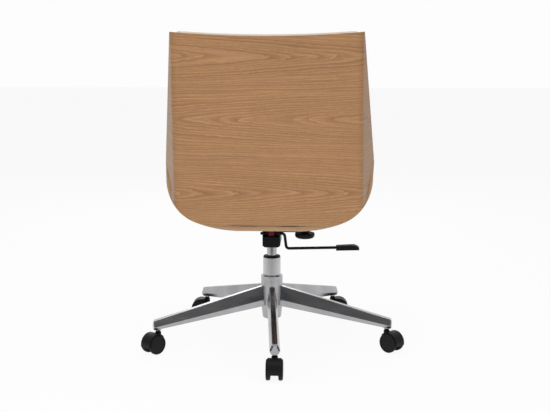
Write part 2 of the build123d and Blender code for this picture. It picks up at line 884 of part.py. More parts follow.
with BuildPart() as tension_screw:
    with BuildSketch(up.offset(knob_low_z + knob_rim)):
        with Locations((-knob_side, 0)):
            Circle(screw_d / 2)
    extrude(amount=screw_top_z - knob_low_z - knob_rim)
save("tension_screw", tension_screw.part)

with BuildPart() as spring_nut:
    with BuildSketch(up.offset(nut_z)):
        with Locations((-knob_side, 0)):
            Rectangle(nut_w, nut_w)
            Circle(screw_d / 2 + running_gap, mode=Mode.SUBTRACT)
    extrude(amount=nut_h)
save("spring_nut", spring_nut.part)

# Tension spring between the nut and the seat plate
coil_low = spring_z + spring_wire / 2
coil_rise = plate_z - rest_gap - spring_wire / 2 - coil_low
with BuildPart() as tension_spring:
    with BuildLine(Plane(origin=(-knob_side, 0, 0))) as coil:
        coil_path((spring_d - spring_wire) / 2, coil_low, coil_rise, spring_turns)
    with BuildSketch(Plane(origin=coil.line @ 0, z_dir=coil.line % 0)):
        Circle(spring_wire / 2)
    sweep()
save("tension_spring", tension_spring.part)
coil_spots = [coil.line @ (spot / coil_samples) for spot in range(coil_samples + 1)]
half_turn = coil_samples // (2 * spring_turns)
least = min((a - b).length for i, a in enumerate(coil_spots) for b in coil_spots[i + half_turn :])
print("tension spring, least gap to itself in mm:", round(least - spring_wire, 2))

# Seat shell: plywood tray, level across the middle, bent up into two arms
arm_corner_z = seat_z + arm_rise_z
notch_z = seat_z + notch_rise
wall_way = Vector(sin(radians(arm_lean)), cos(radians(arm_lean)))
bracket_spots = (-bracket_x, bracket_x)
bracket_back_y = back_foot_y - back_t / cos(lean) - (back_z - floor_z) * tan(lean)
bracket_front_y = bracket_back_y - bracket_foot
foot_screws = [(x, bracket_front_y + along) for x in bracket_spots for along in bracket_screw_foot]
with BuildPart() as seat_shell:
    with BuildSketch(Plane.XZ.offset(-seat_rear)):
        with BuildLine():
            bend_out, corner_out = tray_arcs(0)
            bend_in, corner_in = tray_arcs(shell_t)
            wall_out = Line(corner_out @ 1, corner_out @ 1 + wall_way * arm_rise_z)
            wall_in = Line(corner_in @ 1, corner_in @ 1 + wall_way * arm_rise_z)
            Line(wall_out @ 1, wall_in @ 1)
            Polyline(bend_out @ 0, (0, seat_z), (0, floor_z), bend_in @ 0)
        make_face()
        mirror(about=Plane.YZ)
    extrude(amount=seat_rear + seat_front)
    with BuildSketch(Plane.YZ) as tray_side:
        with BuildLine():
            Polyline(
                (arm_back, arm_corner_z),
                (seat_rear, notch_z),
                (seat_rear, seat_z - shell_t),
                (-seat_front, seat_z - shell_t),
                (-seat_front, seat_z + front_rise),
            )
            ThreePointArc(
                (-seat_front, seat_z + front_rise),
                (arm_mid_y, seat_z + arm_mid_rise),
                (arm_back, arm_corner_z),
            )
        make_face()
        fillet(tray_side.vertices().group_by(Axis.Y)[-1], arm_round)
        fillet(tray_side.vertices().group_by(Axis.X)[0].sort_by(Axis.Y)[-1], front_round)
        fillet(tray_side.vertices().group_by(Axis.X)[-1].sort_by(Axis.Y)[-1], notch_round)
    extrude(amount=seat_flat + seat_bend_r, both=True, mode=Mode.INTERSECT)
    with BuildSketch(up.offset(seat_z)):
        with Locations(*bolt_points):
            Circle(tee_nut_d / 2)
    extrude(amount=shell_t, mode=Mode.SUBTRACT)
    with BuildSketch(up.offset(floor_z - tee_flange_h)):
        with Locations(*bolt_points):
            Circle(tee_flange_d / 2)
    extrude(amount=tee_flange_h, mode=Mode.SUBTRACT)
    with BuildSketch(up.offset(floor_z)):
        with Locations(*foot_screws):
            Circle(screw_shank_d / 2)
    extrude(amount=-screw_shank_l, mode=Mode.SUBTRACT)
save("seat_shell", seat_shell.part)

# Back shell: leaning plywood panel with its sides bent forward into wings
wing_way = Vector(sin(radians(wing_flare)), -cos(radians(wing_flare)))
wing_reach = back_foot_y
corner_z = back_z + back_corner_r
wide = face_half_foot + wing_reach
top_z = back_z + back_h * cos(lean)
top_r = (face_half_top**2 + top_dip**2) / (2 * top_dip)
rim_z = top_z + top_r - sqrt(top_r**2 - wide**2)
stem_screws = [(x, along) for x in bracket_spots for along in bracket_screw_stem]
# upright plane on the panel's inner face: x across, y up the panel, facing the sitter
panel_plane = Plane(
    origin=(0, bracket_back_y, floor_z),
    x_dir=(1, 0, 0),
    z_dir=(0, -cos(lean), sin(lean)),
)
with BuildPart() as back_shell:
    for height in (-back_corner_r, back_h + back_corner_r):
        half = face_half(height)
        with BuildSketch(back_plane(height)):
            with BuildLine():
                bend_out = CenterArc((half, -wing_bend_r), wing_bend_r, 90, wing_flare - 90)
                bend_in = CenterArc((half, -wing_bend_r), wing_bend_r - back_t, 90, wing_flare - 90)
                wing_out = Line(bend_out @ 1, bend_out @ 1 + wing_way * wing_reach)
                wing_in = Line(bend_in @ 1, bend_in @ 1 + wing_way * wing_reach)
                Line(wing_out @ 1, wing_in @ 1)
                Polyline(bend_out @ 0, (0, 0), (0, -back_t), bend_in @ 0)
            make_face()
            mirror(about=Plane.YZ)
    loft(ruled=True)
    with BuildSketch(Plane.XZ):
        with BuildLine():
            left_corner = CenterArc((-back_corner_x, corner_z), back_corner_r, 180, 90)
            right_corner = CenterArc((back_corner_x, corner_z), back_corner_r, -90, 90)
            Line(left_corner @ 1, right_corner @ 0)
            Polyline(right_corner @ 1, (wide, corner_z), (wide, rim_z))
            ThreePointArc((wide, rim_z), (0, top_z), (-wide, rim_z))
            Polyline((-wide, rim_z), (-wide, corner_z), left_corner @ 0)
        make_face()
    extrude(amount=back_foot_y + back_h, both=True, mode=Mode.INTERSECT)
    with BuildSketch(Plane.YZ) as wing_side:
        with BuildLine():
            Polyline(
                (arm_back + wing_seam, arm_corner_z),
                (seat_rear + wing_seam, notch_z),
                (seat_rear + wing_seam, seat_z),
                (back_foot_y + back_h, seat_z),
                (back_foot_y + back_h, back_z + wing_top_h),
                (wing_top_y, back_z + wing_top_h),
                close=True,
            )
        make_face()
        fillet(wing_side.vertices().group_by(Axis.X)[0], wing_round)
    extrude(amount=wide, both=True, mode=Mode.INTERSECT)
    with BuildSketch(panel_plane):
        with Locations(*stem_screws):
            Circle(screw_shank_d / 2)
    extrude(amount=-screw_shank_l, mode=Mode.SUBTRACT)
save("back_shell", back_shell.part)

# Brackets: two bent steel strips that hold the back shell up
stem_top = Vector(bracket_back_y, floor_z) + Vector(sin(lean), cos(lean)) * bracket_h
stem_in = Vector(-cos(lean), sin(lean)) * bracket_t
inner_corner_y = bracket_back_y + bracket_t * tan(lean) - bracket_t / cos(lean)
with BuildPart() as back_brackets:
    for x in bracket_spots:
        with BuildSketch(Plane.YZ.offset(x - bracket_w / 2)):
            with BuildLine():
                Polyline(
                    (bracket_front_y, floor_z),
                    (bracket_back_y, floor_z),
                    stem_top,
                    stem_top + stem_in,
                    (inner_corner_y, floor_z + bracket_t),
                    (bracket_front_y, floor_z + bracket_t),
                    close=True,
                )
            make_face()
        extrude(amount=bracket_w)
    with BuildSketch(up.offset(floor_z)):
        with Locations(*foot_screws):
            Circle(screw_shank_d / 2)
    extrude(amount=bracket_t, mode=Mode.SUBTRACT)
    with BuildSketch(panel_plane):
        with Locations(*stem_screws):
            Circle(screw_shank_d / 2)
    extrude(amount=bracket_t, mode=Mode.SUBTRACT)
save("back_brackets", back_brackets.part)

with BuildPart() as bracket_screws:
    for plane, spots in ((up.offset(floor_z), foot_screws), (panel_plane, stem_screws)):
        with BuildSketch(plane.offset(-screw_shank_l)):
            with Locations(*spots):
                Circle(screw_shank_d / 2)
        extrude(amount=screw_shank_l + bracket_t)
        with BuildSketch(plane.offset(bracket_t)):
            with Locations(*spots):
                Circle(screw_head_d / 2)
        extrude(amount=screw_head_h)
save("bracket_screws", bracket_screws.part)

# Seat cushion: fills the tray, crowned both ways, with drawn-in sides and a round nose
pad_skin = shell_t + cushion_gap
pad_top_z = floor_z + seat_pad_h
pad_edge = Vector(*tray_corner_point(pad_skin, seat_pad_side))
pad_shoulder = Vector(pad_edge.X - seat_pad_draw, floor_z + seat_pad_edge_h)
pad_bulge = (pad_edge + pad_shoulder) / 2 + Vector(seat_pad_draw, seat_pad_draw) / 2
pad_crown = seat_pad_h - seat_pad_edge_h
crown_r = (pad_shoulder.X**2 + pad_crown**2) / (2 * pad_crown)
crown_end_z = pad_top_z - seat_pad_end_drop
nose_mid = (seat_pad_front + seat_pad_nose / 4, (floor_z + crown_end_z) / 2)
heel_y = bracket_front_y - seat_pad_heel
heel_z = floor_z + bracket_t + screw_head_h + seat_pad_heel / 5
with BuildPart() as seat_cushion:
    with BuildSketch(Plane.XZ.offset(-seat_pad_rear)) as pad_across:
        with BuildLine():
            pad_bend, pad_corner = tray_arcs(pad_skin, seat_pad_side)
            pad_side = ThreePointArc(pad_edge, pad_bulge, pad_shoulder)
            crown = TangentArc((0, pad_top_z + cushion_gap), pad_shoulder, tangent=(1, 0))
            Polyline(pad_bend @ 0, (0, floor_z + cushion_gap), crown @ 0)
        make_face()
        mirror(about=Plane.YZ)
    extrude(amount=seat_pad_rear + seat_pad_front + seat_pad_nose)
    with BuildSketch(Plane.YZ) as pad_along:
        with BuildLine():
            nose = ThreePointArc(
                (-seat_pad_front, floor_z - shell_t),
                (-nose_mid[0], nose_mid[1]),
                (-seat_pad_front + seat_pad_nose, crown_end_z),
            )
            crown_end = (seat_pad_rear - seat_pad_heel, crown_end_z)
            crown = ThreePointArc(nose @ 1, (-seat_pad_nose, pad_top_z), crown_end)
            rear = TangentArc(crown @ 1, (seat_pad_rear, crown_end_z - seat_pad_heel), tangent=crown % 1)
            Polyline(rear @ 1, (seat_pad_rear, floor_z - shell_t), nose @ 0)
        make_face()
    revolve(axis=Axis((0, 0, pad_top_z - crown_r), (0, 1, 0)), mode=Mode.INTERSECT)
    with BuildSketch(Plane.YZ):
        with BuildLine():
            Polyline(
                (heel_y, floor_z),
                (bracket_front_y, heel_z),
                (seat_pad_rear, heel_z),
                (seat_pad_rear, floor_z),
                close=True,
            )
        make_face()
    extrude(amount=seat_flat + corner_r, both=True, mode=Mode.SUBTRACT)
save("seat_cushion", seat_cushion.part)

# Back cushion: follows the panel and its bends, crowned both ways
pad_bend_r = wing_bend_r - back_t - cushion_gap
with BuildPart() as back_cushion:
    for step in range(back_pad_steps + 1):
        share = (1 - cos(pi * step / back_pad_steps)) / 2
        height = back_pad_foot + (back_h + back_pad_top - back_pad_foot) * share
        swell = 1 - (2 * share - 1) ** 4
        crown_t = back_pad_end_t + (back_pad_t - back_pad_end_t) * swell
        edge_t = crown_t * back_pad_edge_t / back_pad_t
        half = face_half(height)
        with BuildSketch(back_plane(height)):
            with BuildLine():
                wrap = CenterArc((half, -wing_bend_r), pad_bend_r, 90, -back_pad_wrap)
                shoulder = Vector(half + pad_bend_r - back_pad_draw, -back_t - edge_t)
                bulge = (wrap @ 1 + shoulder) / 2 + Vector(back_pad_draw / 3, 0)
                ThreePointArc(wrap @ 1, bulge, shoulder)
                crown = TangentArc((0, -back_t - crown_t), shoulder, tangent=(1, 0))
                Polyline(wrap @ 0, (0, -back_t - cushion_gap), crown @ 0)
            make_face()
            mirror(about=Plane.YZ)
    loft()
save("back_cushion", back_cushion.part)

# Casters: a hood with a web between the wheels, a stem, an axle and two wheels each
axle_half = wheel_spread / 2 + wheel_w - axle_inset
rim_r = wheel_r - wheel_rim
for index in range(leg_count):
    number = index + 1
    middle = caster_plane(index)
    with BuildPart() as caster_hood:
        with BuildSketch(middle):
            with BuildLine():
                band_out = CenterArc((trail, wheel_r), hood_r, hood_back, hood_front - hood_back)
                band_in = CenterArc((trail, wheel_r), hood_r - hood_wall, hood_back, hood_front - hood_back)
                Line(band_out @ 0, band_in @ 0)
                Line(band_out @ 1, band_in @ 1)
            make_face()
        extrude(amount=hood_w / 2, both=True)
        with BuildSketch(middle):
            with Locations((trail, wheel_r)):
                Circle(hood_r - hood_wall / 2)
                Rectangle(2 * hood_r, hood_r, align=(Align.CENTER, Align.MAX), mode=Mode.SUBTRACT)
        extrude(amount=web_w / 2, both=True)
        with BuildSketch(middle):
            with Locations((trail, wheel_r)):
                Circle(axle_boss_d / 2)
        extrude(amount=wheel_spread / 2 - rest_gap, both=True)
        with BuildSketch(up.offset(hood_top)):
            with Locations(middle.origin):
                Circle(stem_boss_d / 2)
        extrude(amount=-stem_boss_h)
        with BuildSketch(up.offset(hood_top)):
            with Locations(middle.origin):
                Circle(stem_d / 2)
        extrude(amount=-stem_root, mode=Mode.SUBTRACT)
        with BuildSketch(middle):
            with Locations((trail, wheel_r)):
                Circle(axle_d / 2)
        extrude(amount=wheel_spread / 2, both=True, mode=Mode.SUBTRACT)
    save(f"caster_hood_{number}", caster_hood.part)

    with BuildPart() as caster_stem:
        with BuildSketch(up.offset(hood_top - stem_root)):
            with Locations(middle.origin):
                Circle(stem_d / 2)
        extrude(amount=stem_root + neck_h + stem_grip)
        chamfer(caster_stem.edges().group_by(Axis.Z)[-1], stem_point)
        with BuildSketch(up.offset(hood_top)):
            with Locations(middle.origin):
                Circle(neck_d / 2)
        extrude(amount=neck_h - rest_gap)
    save(f"caster_stem_{number}", caster_stem.part)

    with BuildPart() as caster_axle:
        with BuildSketch(middle):
            with Locations((trail, wheel_r)):
                Circle(axle_d / 2)
        extrude(amount=axle_half, both=True)
    save(f"caster_axle_{number}", caster_axle.part)

    for side, word in ((-1, "left"), (1, "right")):
        inner_face = middle.offset(side * wheel_spread / 2)
        outer_face = middle.offset(side * (wheel_spread / 2 + wheel_w))
        with BuildPart() as wheel:
            with BuildSketch(inner_face):
                with Locations((trail, wheel_r)):
                    Circle(wheel_r)
            extrude(amount=side * wheel_w)
            fillet(wheel.edges().filter_by(GeomType.CIRCLE), tread_round)
            with BuildSketch(inner_face):
                with Locations((trail, wheel_r)):
                    Circle(rim_r)
                    Circle(wheel_hub_d / 2, mode=Mode.SUBTRACT)
            extrude(amount=side * (wheel_w - wheel_web), mode=Mode.SUBTRACT)
            with BuildSketch(outer_face):
                with Locations((trail, wheel_r)):
                    Circle(rim_r)
            extrude(amount=-side * face_dish, mode=Mode.SUBTRACT)
            with BuildSketch(inner_face):
                with Locations((trail, wheel_r)):
                    Circle(axle_d / 2 + running_gap)
            extrude(amount=side * (wheel_w - axle_inset + rest_gap), mode=Mode.SUBTRACT)
        save(f"wheel_{number}_{word}", wheel.part)
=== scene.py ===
import json
import math

import bmesh
import bpy
import numpy as np
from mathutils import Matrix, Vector
from mathutils.bvhtree import BVHTree
from mathutils.kdtree import KDTree


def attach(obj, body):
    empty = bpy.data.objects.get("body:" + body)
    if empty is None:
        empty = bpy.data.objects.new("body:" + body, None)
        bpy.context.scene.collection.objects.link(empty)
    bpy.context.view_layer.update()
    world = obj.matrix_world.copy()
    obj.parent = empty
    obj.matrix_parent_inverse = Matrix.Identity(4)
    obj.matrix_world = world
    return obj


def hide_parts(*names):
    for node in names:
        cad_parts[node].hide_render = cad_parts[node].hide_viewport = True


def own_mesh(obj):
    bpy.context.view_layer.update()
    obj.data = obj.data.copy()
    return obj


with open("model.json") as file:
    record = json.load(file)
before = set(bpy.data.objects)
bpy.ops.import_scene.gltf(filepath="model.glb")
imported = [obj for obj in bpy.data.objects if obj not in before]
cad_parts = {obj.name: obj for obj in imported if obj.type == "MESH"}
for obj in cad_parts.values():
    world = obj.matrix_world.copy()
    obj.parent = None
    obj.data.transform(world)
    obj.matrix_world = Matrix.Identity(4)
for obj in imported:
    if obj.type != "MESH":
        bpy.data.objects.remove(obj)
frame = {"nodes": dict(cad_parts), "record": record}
nodes = frame["nodes"]
scene = bpy.context.scene
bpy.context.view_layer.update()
print("stage: frame loaded with", len(nodes), "CAD nodes")


# helpers

def linear(colour):
    # sRGB hex to the linear values that the shaders take
    parts = [int(colour[i:i + 2], 16) / 255 for i in (1, 3, 5)]
    return tuple(p / 12.92 if p <= 0.04045 else ((p + 0.055) / 1.055) ** 2.4 for p in parts) + (1.0,)


def addNode(tree, kind, links=None, stops=None, **settings):
    # links maps an input to a value, a node, or a (node, output) pair
    node = tree.nodes.new(kind)
    for name, value in settings.items():
        setattr(node, name, value)
    for key, value in (links or {}).items():
        if isinstance(value, bpy.types.Node):
            tree.links.new(value.outputs[0], node.inputs[key])
        elif isinstance(value, tuple) and isinstance(value[0], bpy.types.Node):
            tree.links.new(value[0].outputs[value[1]], node.inputs[key])
        else:
            node.inputs[key].default_value = value
    if stops:
        ramp = node.color_ramp.elements
        while len(ramp) < len(stops):
            ramp.new(0.5)
        for element, (place, colour) in zip(ramp, stops):
            element.position = place
            element.color = linear(colour) if isinstance(colour, str) else (colour, colour, colour, 1)
    return node


def perMetre(*sizes):
    # texture scales for a pattern of these sizes, given in mm
    return tuple(1000 / size for size in sizes)


def newMaterial(name):
    material = bpy.data.materials.new(name)
    material.use_nodes = True
    return material, material.node_tree, material.node_tree.nodes["Principled BSDF"]


def newPiece(name, verts, faces, material, body):
    mesh = bpy.data.meshes.new(name)
    mesh.from_pydata([tuple(v) for v in verts], [], faces)
    mesh.update()
    piece = bpy.data.objects.new(name, mesh)
    scene.collection.objects.link(piece)
    mesh.materials.append(material)
    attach(piece, body)
    return piece


def shadeSmooth(mesh):
    for polygon in mesh.polygons:
        polygon.use_smooth = True


def tube(path, radius, sides, closed):
    # verts and faces of a round cord along a path, carried along without twist
    points = [Vector(p) for p in path]
    count = len(points)
    verts, faces = [], []
    side = None
    for i, point in enumerate(points):
        ahead = points[(i + 1) % count] if closed or i < count - 1 else point
        behind = points[i - 1] if closed or i > 0 else point
        way = (ahead - behind).normalized()
        if side is None:
            side = way.orthogonal().normalized()
        side = (side - way * side.dot(way)).normalized()
        other = way.cross(side)
        for k in range(sides):
            angle = 2 * math.pi * k / sides
            verts.append(point + (side * math.cos(angle) + other * math.sin(angle)) * radius)
    for i in range(count if closed else count - 1):
        a, b = i * sides, ((i + 1) % count) * sides
        for k in range(sides):
            n = (k + 1) % sides
            faces.append((a + k, a + n, b + n, b + k))
    if not closed:
        faces.append(tuple(range(sides))[::-1])
        faces.append(tuple(range((count - 1) * sides, count * sides)))
    return verts, faces


# materials

# Lacquered oak veneer: horizontal leaves with a pointed, arched figure, uneven rings, fine pores
# and a satin coat.
veneer = {
    "leaf": 0.181,            # width of one leaf of veneer, m
    "leafStart": 0.0,         # where the first leaf starts, so that the arches sit as in the photograph
    "offCentre": 0.017,       # how far the heart of every second leaf lies from the leaf's middle
    "ring": 0.0060,           # distance between growth rings
    "pith": 0.013,            # how deep the trunk's heart lies behind the leaf
    "taper": 0.078,           # how fast the rings run out along the leaf
    "leafShift": 0.043,       # how far each leaf is slipped along the one before it
    "leafAge": 13.7,          # years from one leaf to the next, so that no two are alike
    "wander": 0.012,          # how far the figure wanders
    "fray": 0.0025,           # how far single fibres fray its lines
    "yearStrength": (0.40, 0.88),    # how dark the weakest and the strongest year's line is
    "fineLines": 2.5,         # finer lines in each year
    "streakTone": (0.86, 1.12),      # darkest and palest streak
    "coat": 0.28, "coatRough": 0.22,
    "pale": "#b3875a", "light": "#a4774b", "middle": "#9a6f46", "dark": "#7d5533", "pore": "#64452a",
    # sizes of the patterns in mm, along and across the leaf
    "wanderSize": (153.8, 31.25), "fibreSize": (35.71, 1.111), "streakSize": (250.0, 2.632),
    "poreSize": (9.091, 0.7143), "cloudSize": (200.0, 71.43),
}


def oakVeneer(name, uvName):
    material, tree, shader = newMaterial(name)
    uv = addNode(tree, "ShaderNodeUVMap", uv_map=uvName)
    place = addNode(tree, "ShaderNodeSeparateXYZ", {0: uv})
    across = addNode(tree, "ShaderNodeMath", {0: (place, 1), 1: veneer["leafStart"]}, operation="ADD")
    leaf = addNode(tree, "ShaderNodeMath", {0: across, 1: veneer["leaf"]}, operation="DIVIDE")
    leafNumber = addNode(tree, "ShaderNodeMath", {0: leaf}, operation="FLOOR")
    leafPart = addNode(tree, "ShaderNodeMath", {0: leaf}, operation="FRACT")
    fromMiddle = addNode(tree, "ShaderNodeMath", {0: leafPart, 1: 0.5}, operation="SUBTRACT")
    # every second leaf is turned end for end
    odd = addNode(tree, "ShaderNodeMath", {0: leafNumber, 1: 2.0}, operation="FLOORED_MODULO")
    heartPlace = addNode(tree, "ShaderNodeMath", {0: odd, 1: -veneer["offCentre"]}, operation="MULTIPLY")
    width = addNode(tree, "ShaderNodeMath", {0: fromMiddle, 1: veneer["leaf"], 2: heartPlace},
                    operation="MULTIPLY_ADD")
    way = addNode(tree, "ShaderNodeMath", {0: odd, 1: 2.0, 2: -1.0}, operation="MULTIPLY_ADD")
    along = addNode(tree, "ShaderNodeMath", {0: (place, 0), 1: way}, operation="MULTIPLY")
    shifted = addNode(tree, "ShaderNodeMath", {0: leafNumber, 1: veneer["leafShift"], 2: along},
                      operation="MULTIPLY_ADD")
    laid = addNode(tree, "ShaderNodeCombineXYZ", {0: shifted, 1: width, 2: leafNumber})
    # the figure wanders slowly, and its lines are frayed by fibres; the third scale sets the leaves apart
    slowScale = perMetre(*veneer["wanderSize"]) + (3.7,)
    slowPlace = addNode(tree, "ShaderNodeMapping", {"Vector": laid, "Scale": slowScale})
    wander = addNode(tree, "ShaderNodeTexNoise", {"Vector": slowPlace, "Scale": 1.0, "Detail": 3.0})
    fibreScale = perMetre(*veneer["fibreSize"]) + (5.1,)
    fibrePlace = addNode(tree, "ShaderNodeMapping", {"Vector": laid, "Scale": fibreScale})
    fibres = addNode(tree, "ShaderNodeTexNoise", {"Vector": fibrePlace, "Scale": 1.0, "Detail": 2.0})
    # the trunk tapers, so the rings close into arches; they run straighter towards a leaf's edges
    aside = addNode(tree, "ShaderNodeMath", {0: width}, operation="ABSOLUTE")
    slope = addNode(tree, "ShaderNodeMapRange", {0: aside, 1: 0.015, 2: 0.09, 3: veneer["taper"],
                                                 4: 0.3 * veneer["taper"]}, interpolation_type="SMOOTHSTEP")
    taper = addNode(tree, "ShaderNodeMath", {0: shifted, 1: slope}, operation="MULTIPLY")
    wandered = addNode(tree, "ShaderNodeMath", {0: wander, 1: veneer["wander"], 2: taper},
                       operation="MULTIPLY_ADD")
    frayed = addNode(tree, "ShaderNodeMath", {0: fibres, 1: veneer["fray"], 2: wandered},
                     operation="MULTIPLY_ADD")
    cut = addNode(tree, "ShaderNodeCombineXYZ", {0: 0.0, 1: width, 2: veneer["pith"]})
    heart = addNode(tree, "ShaderNodeVectorMath", {0: cut}, operation="LENGTH")
    radius = addNode(tree, "ShaderNodeMath", {0: (heart, 1), 1: frayed}, operation="ADD")
    # some years are wide and some narrow, and each has its own darkness
    age = addNode(tree, "ShaderNodeMath", {0: radius, 1: 1 / veneer["ring"]}, operation="MULTIPLY")
    own = addNode(tree, "ShaderNodeMath", {0: leafNumber, 1: veneer["leafAge"], 2: age},
                  operation="MULTIPLY_ADD")
    years = addNode(tree, "ShaderNodeTexNoise", {"W": own, "Scale": 0.45, "Detail": 1.0},
                    noise_dimensions="1D")
    uneven = addNode(tree, "ShaderNodeMath", {0: years, 1: 1.3, 2: own}, operation="MULTIPLY_ADD")
    season = addNode(tree, "ShaderNodeMath", {0: uneven}, operation="FRACT")
    year = addNode(tree, "ShaderNodeMath", {0: uneven}, operation="FLOOR")
    yearTone = addNode(tree, "ShaderNodeTexWhiteNoise", {"W": year}, noise_dimensions="1D")
    line = addNode(tree, "ShaderNodeValToRGB", {0: season}, stops=[
        (0.0, 1.0), (0.09, 0.80), (0.20, 0.40), (0.42, 0.11), (0.95, 0.0), (1.0, 1.0)])
    weakest, strongest = veneer["yearStrength"]
    strength = addNode(tree, "ShaderNodeMapRange", {0: (yearTone, 0), 1: 0.0, 2: 1.0, 3: weakest,
                                                    4: strongest})
    fade = addNode(tree, "ShaderNodeMapRange", {0: fibres, 1: 0.3, 2: 0.7, 3: 0.55, 4: 1.0})
    lineShare = addNode(tree, "ShaderNodeMath", {0: line, 1: strength}, operation="MULTIPLY")
    # finer lines between the years, about 2.4 mm apart
    fineAge = addNode(tree, "ShaderNodeMath", {0: uneven, 1: veneer["fineLines"], 2: fibres},
                      operation="MULTIPLY_ADD")
    fineSeason = addNode(tree, "ShaderNodeMath", {0: fineAge}, operation="FRACT")
    fineLine = addNode(tree, "ShaderNodeValToRGB", {0: fineSeason}, stops=[
        (0.0, 0.50), (0.35, 0.08), (0.9, 0.0), (1.0, 0.50)])
    # lines weaken towards a leaf's edges
    edgeFade = addNode(tree, "ShaderNodeMapRange", {0: aside, 1: 0.045, 2: 0.085, 3: 1.0, 4: 0.55})
    frayedLine = addNode(tree, "ShaderNodeMath", {0: lineShare, 1: fade}, operation="MULTIPLY")
    yearLine = addNode(tree, "ShaderNodeMath", {0: frayedLine, 1: edgeFade}, operation="MULTIPLY")
    darkShare = addNode(tree, "ShaderNodeMath", {0: yearLine, 1: fineLine}, operation="MAXIMUM")
    # broad bands of tone, each some years wide
    bands = addNode(tree, "ShaderNodeTexNoise", {"W": own, "Scale": 0.21, "Detail": 2.0},
                    noise_dimensions="1D")
    bandShare = addNode(tree, "ShaderNodeMapRange", {0: bands, 1: 0.35, 2: 0.65, 3: 0.0, 4: 1.0})
    ground = addNode(tree, "ShaderNodeMix", {0: bandShare, 6: linear(veneer["light"]),
                                             7: linear(veneer["middle"])}, data_type="RGBA")
    # early wood just inside each line is the palest
    paleShare = addNode(tree, "ShaderNodeValToRGB", {0: season}, stops=[
        (0.35, 0.0), (0.82, 0.75), (0.95, 0.75), (1.0, 0.0)])
    lit = addNode(tree, "ShaderNodeMix", {0: paleShare, 6: (ground, 2), 7: linear(veneer["pale"])},
                  data_type="RGBA")
    figure = addNode(tree, "ShaderNodeMix", {0: darkShare, 6: (lit, 2), 7: linear(veneer["dark"])},
                     data_type="RGBA")
    # streaks of tone that run the length of a leaf
    streakScale = perMetre(*veneer["streakSize"]) + (1.0,)
    streakPlace = addNode(tree, "ShaderNodeMapping", {"Vector": uv, "Scale": streakScale})
    streaks = addNode(tree, "ShaderNodeTexNoise", {"Vector": streakPlace, "Scale": 1.0, "Detail": 4.0})
    darkest, palest = veneer["streakTone"]
    streakTone = addNode(tree, "ShaderNodeMapRange", {0: streaks, 1: 0.3, 2: 0.7, 3: darkest, 4: palest})
    toned = addNode(tree, "ShaderNodeMix", {0: 1.0, 6: (figure, 2), 7: streakTone}, data_type="RGBA",
                    blend_type="MULTIPLY")
    # open pores: dark dashes, drawn twice as wide as real ones so that they show, thickest on the lines
    poreScale = perMetre(*veneer["poreSize"]) + (1.0,)
    porePlace = addNode(tree, "ShaderNodeMapping", {"Vector": uv, "Scale": poreScale})
    pores = addNode(tree, "ShaderNodeTexNoise", {"Vector": porePlace, "Scale": 1.0, "Detail": 1.0})
    poreMask = addNode(tree, "ShaderNodeMapRange", {0: pores, 1: 0.58, 2: 0.72, 3: 0.0, 4: 1.0})
    poreCrowd = addNode(tree, "ShaderNodeMapRange", {0: line, 1: 0.0, 2: 0.8, 3: 0.28, 4: 0.75})
    poreShare = addNode(tree, "ShaderNodeMath", {0: poreMask, 1: poreCrowd}, operation="MULTIPLY")
    pored = addNode(tree, "ShaderNodeMix", {0: poreShare, 6: (toned, 2), 7: linear(veneer["pore"])},
                    data_type="RGBA")
    # each hand's breadth has its own tone
    cloudScale = perMetre(*veneer["cloudSize"]) + (2.3,)
    cloudPlace = addNode(tree, "ShaderNodeMapping", {"Vector": laid, "Scale": cloudScale})
    clouds = addNode(tree, "ShaderNodeTexNoise", {"Vector": cloudPlace, "Scale": 1.0, "Detail": 2.0})
    cloudTone = addNode(tree, "ShaderNodeMapRange", {0: clouds, 1: 0.3, 2: 0.7, 3: 0.95, 4: 1.05})
    final = addNode(tree, "ShaderNodeMix", {0: 1.0, 6: (pored, 2), 7: cloudTone}, data_type="RGBA",
                    blend_type="MULTIPLY")
    tree.links.new(final.outputs[2], shader.inputs["Base Color"])
    sheen = addNode(tree, "ShaderNodeMapRange", {0: streaks, 1: 0.3, 2: 0.7, 3: 0.46, 4: 0.58})
    tree.links.new(sheen.outputs[0], shader.inputs["Roughness"])
    hollow = addNode(tree, "ShaderNodeMath", {0: 1.0, 1: poreShare}, operation="SUBTRACT")
    bump = addNode(tree, "ShaderNodeBump", {"Strength": 0.25, "Distance": 0.0002, "Height": hollow})
    tree.links.new(bump.outputs[0], shader.inputs["Normal"])
    shader.inputs["Coat Weight"].default_value = veneer["coat"]
    shader.inputs["Coat Roughness"].default_value = veneer["coatRough"]
    return material


# Cut edge of the plywood: pale and dark layers in turn with glue lines between them, and a fine grain in mm.
plyEdge = {"layers": 7, "pale": "#c8a57e", "dark": "#9a7350", "glue": "#6b4a30", "grain": (2.5, 1.111)}


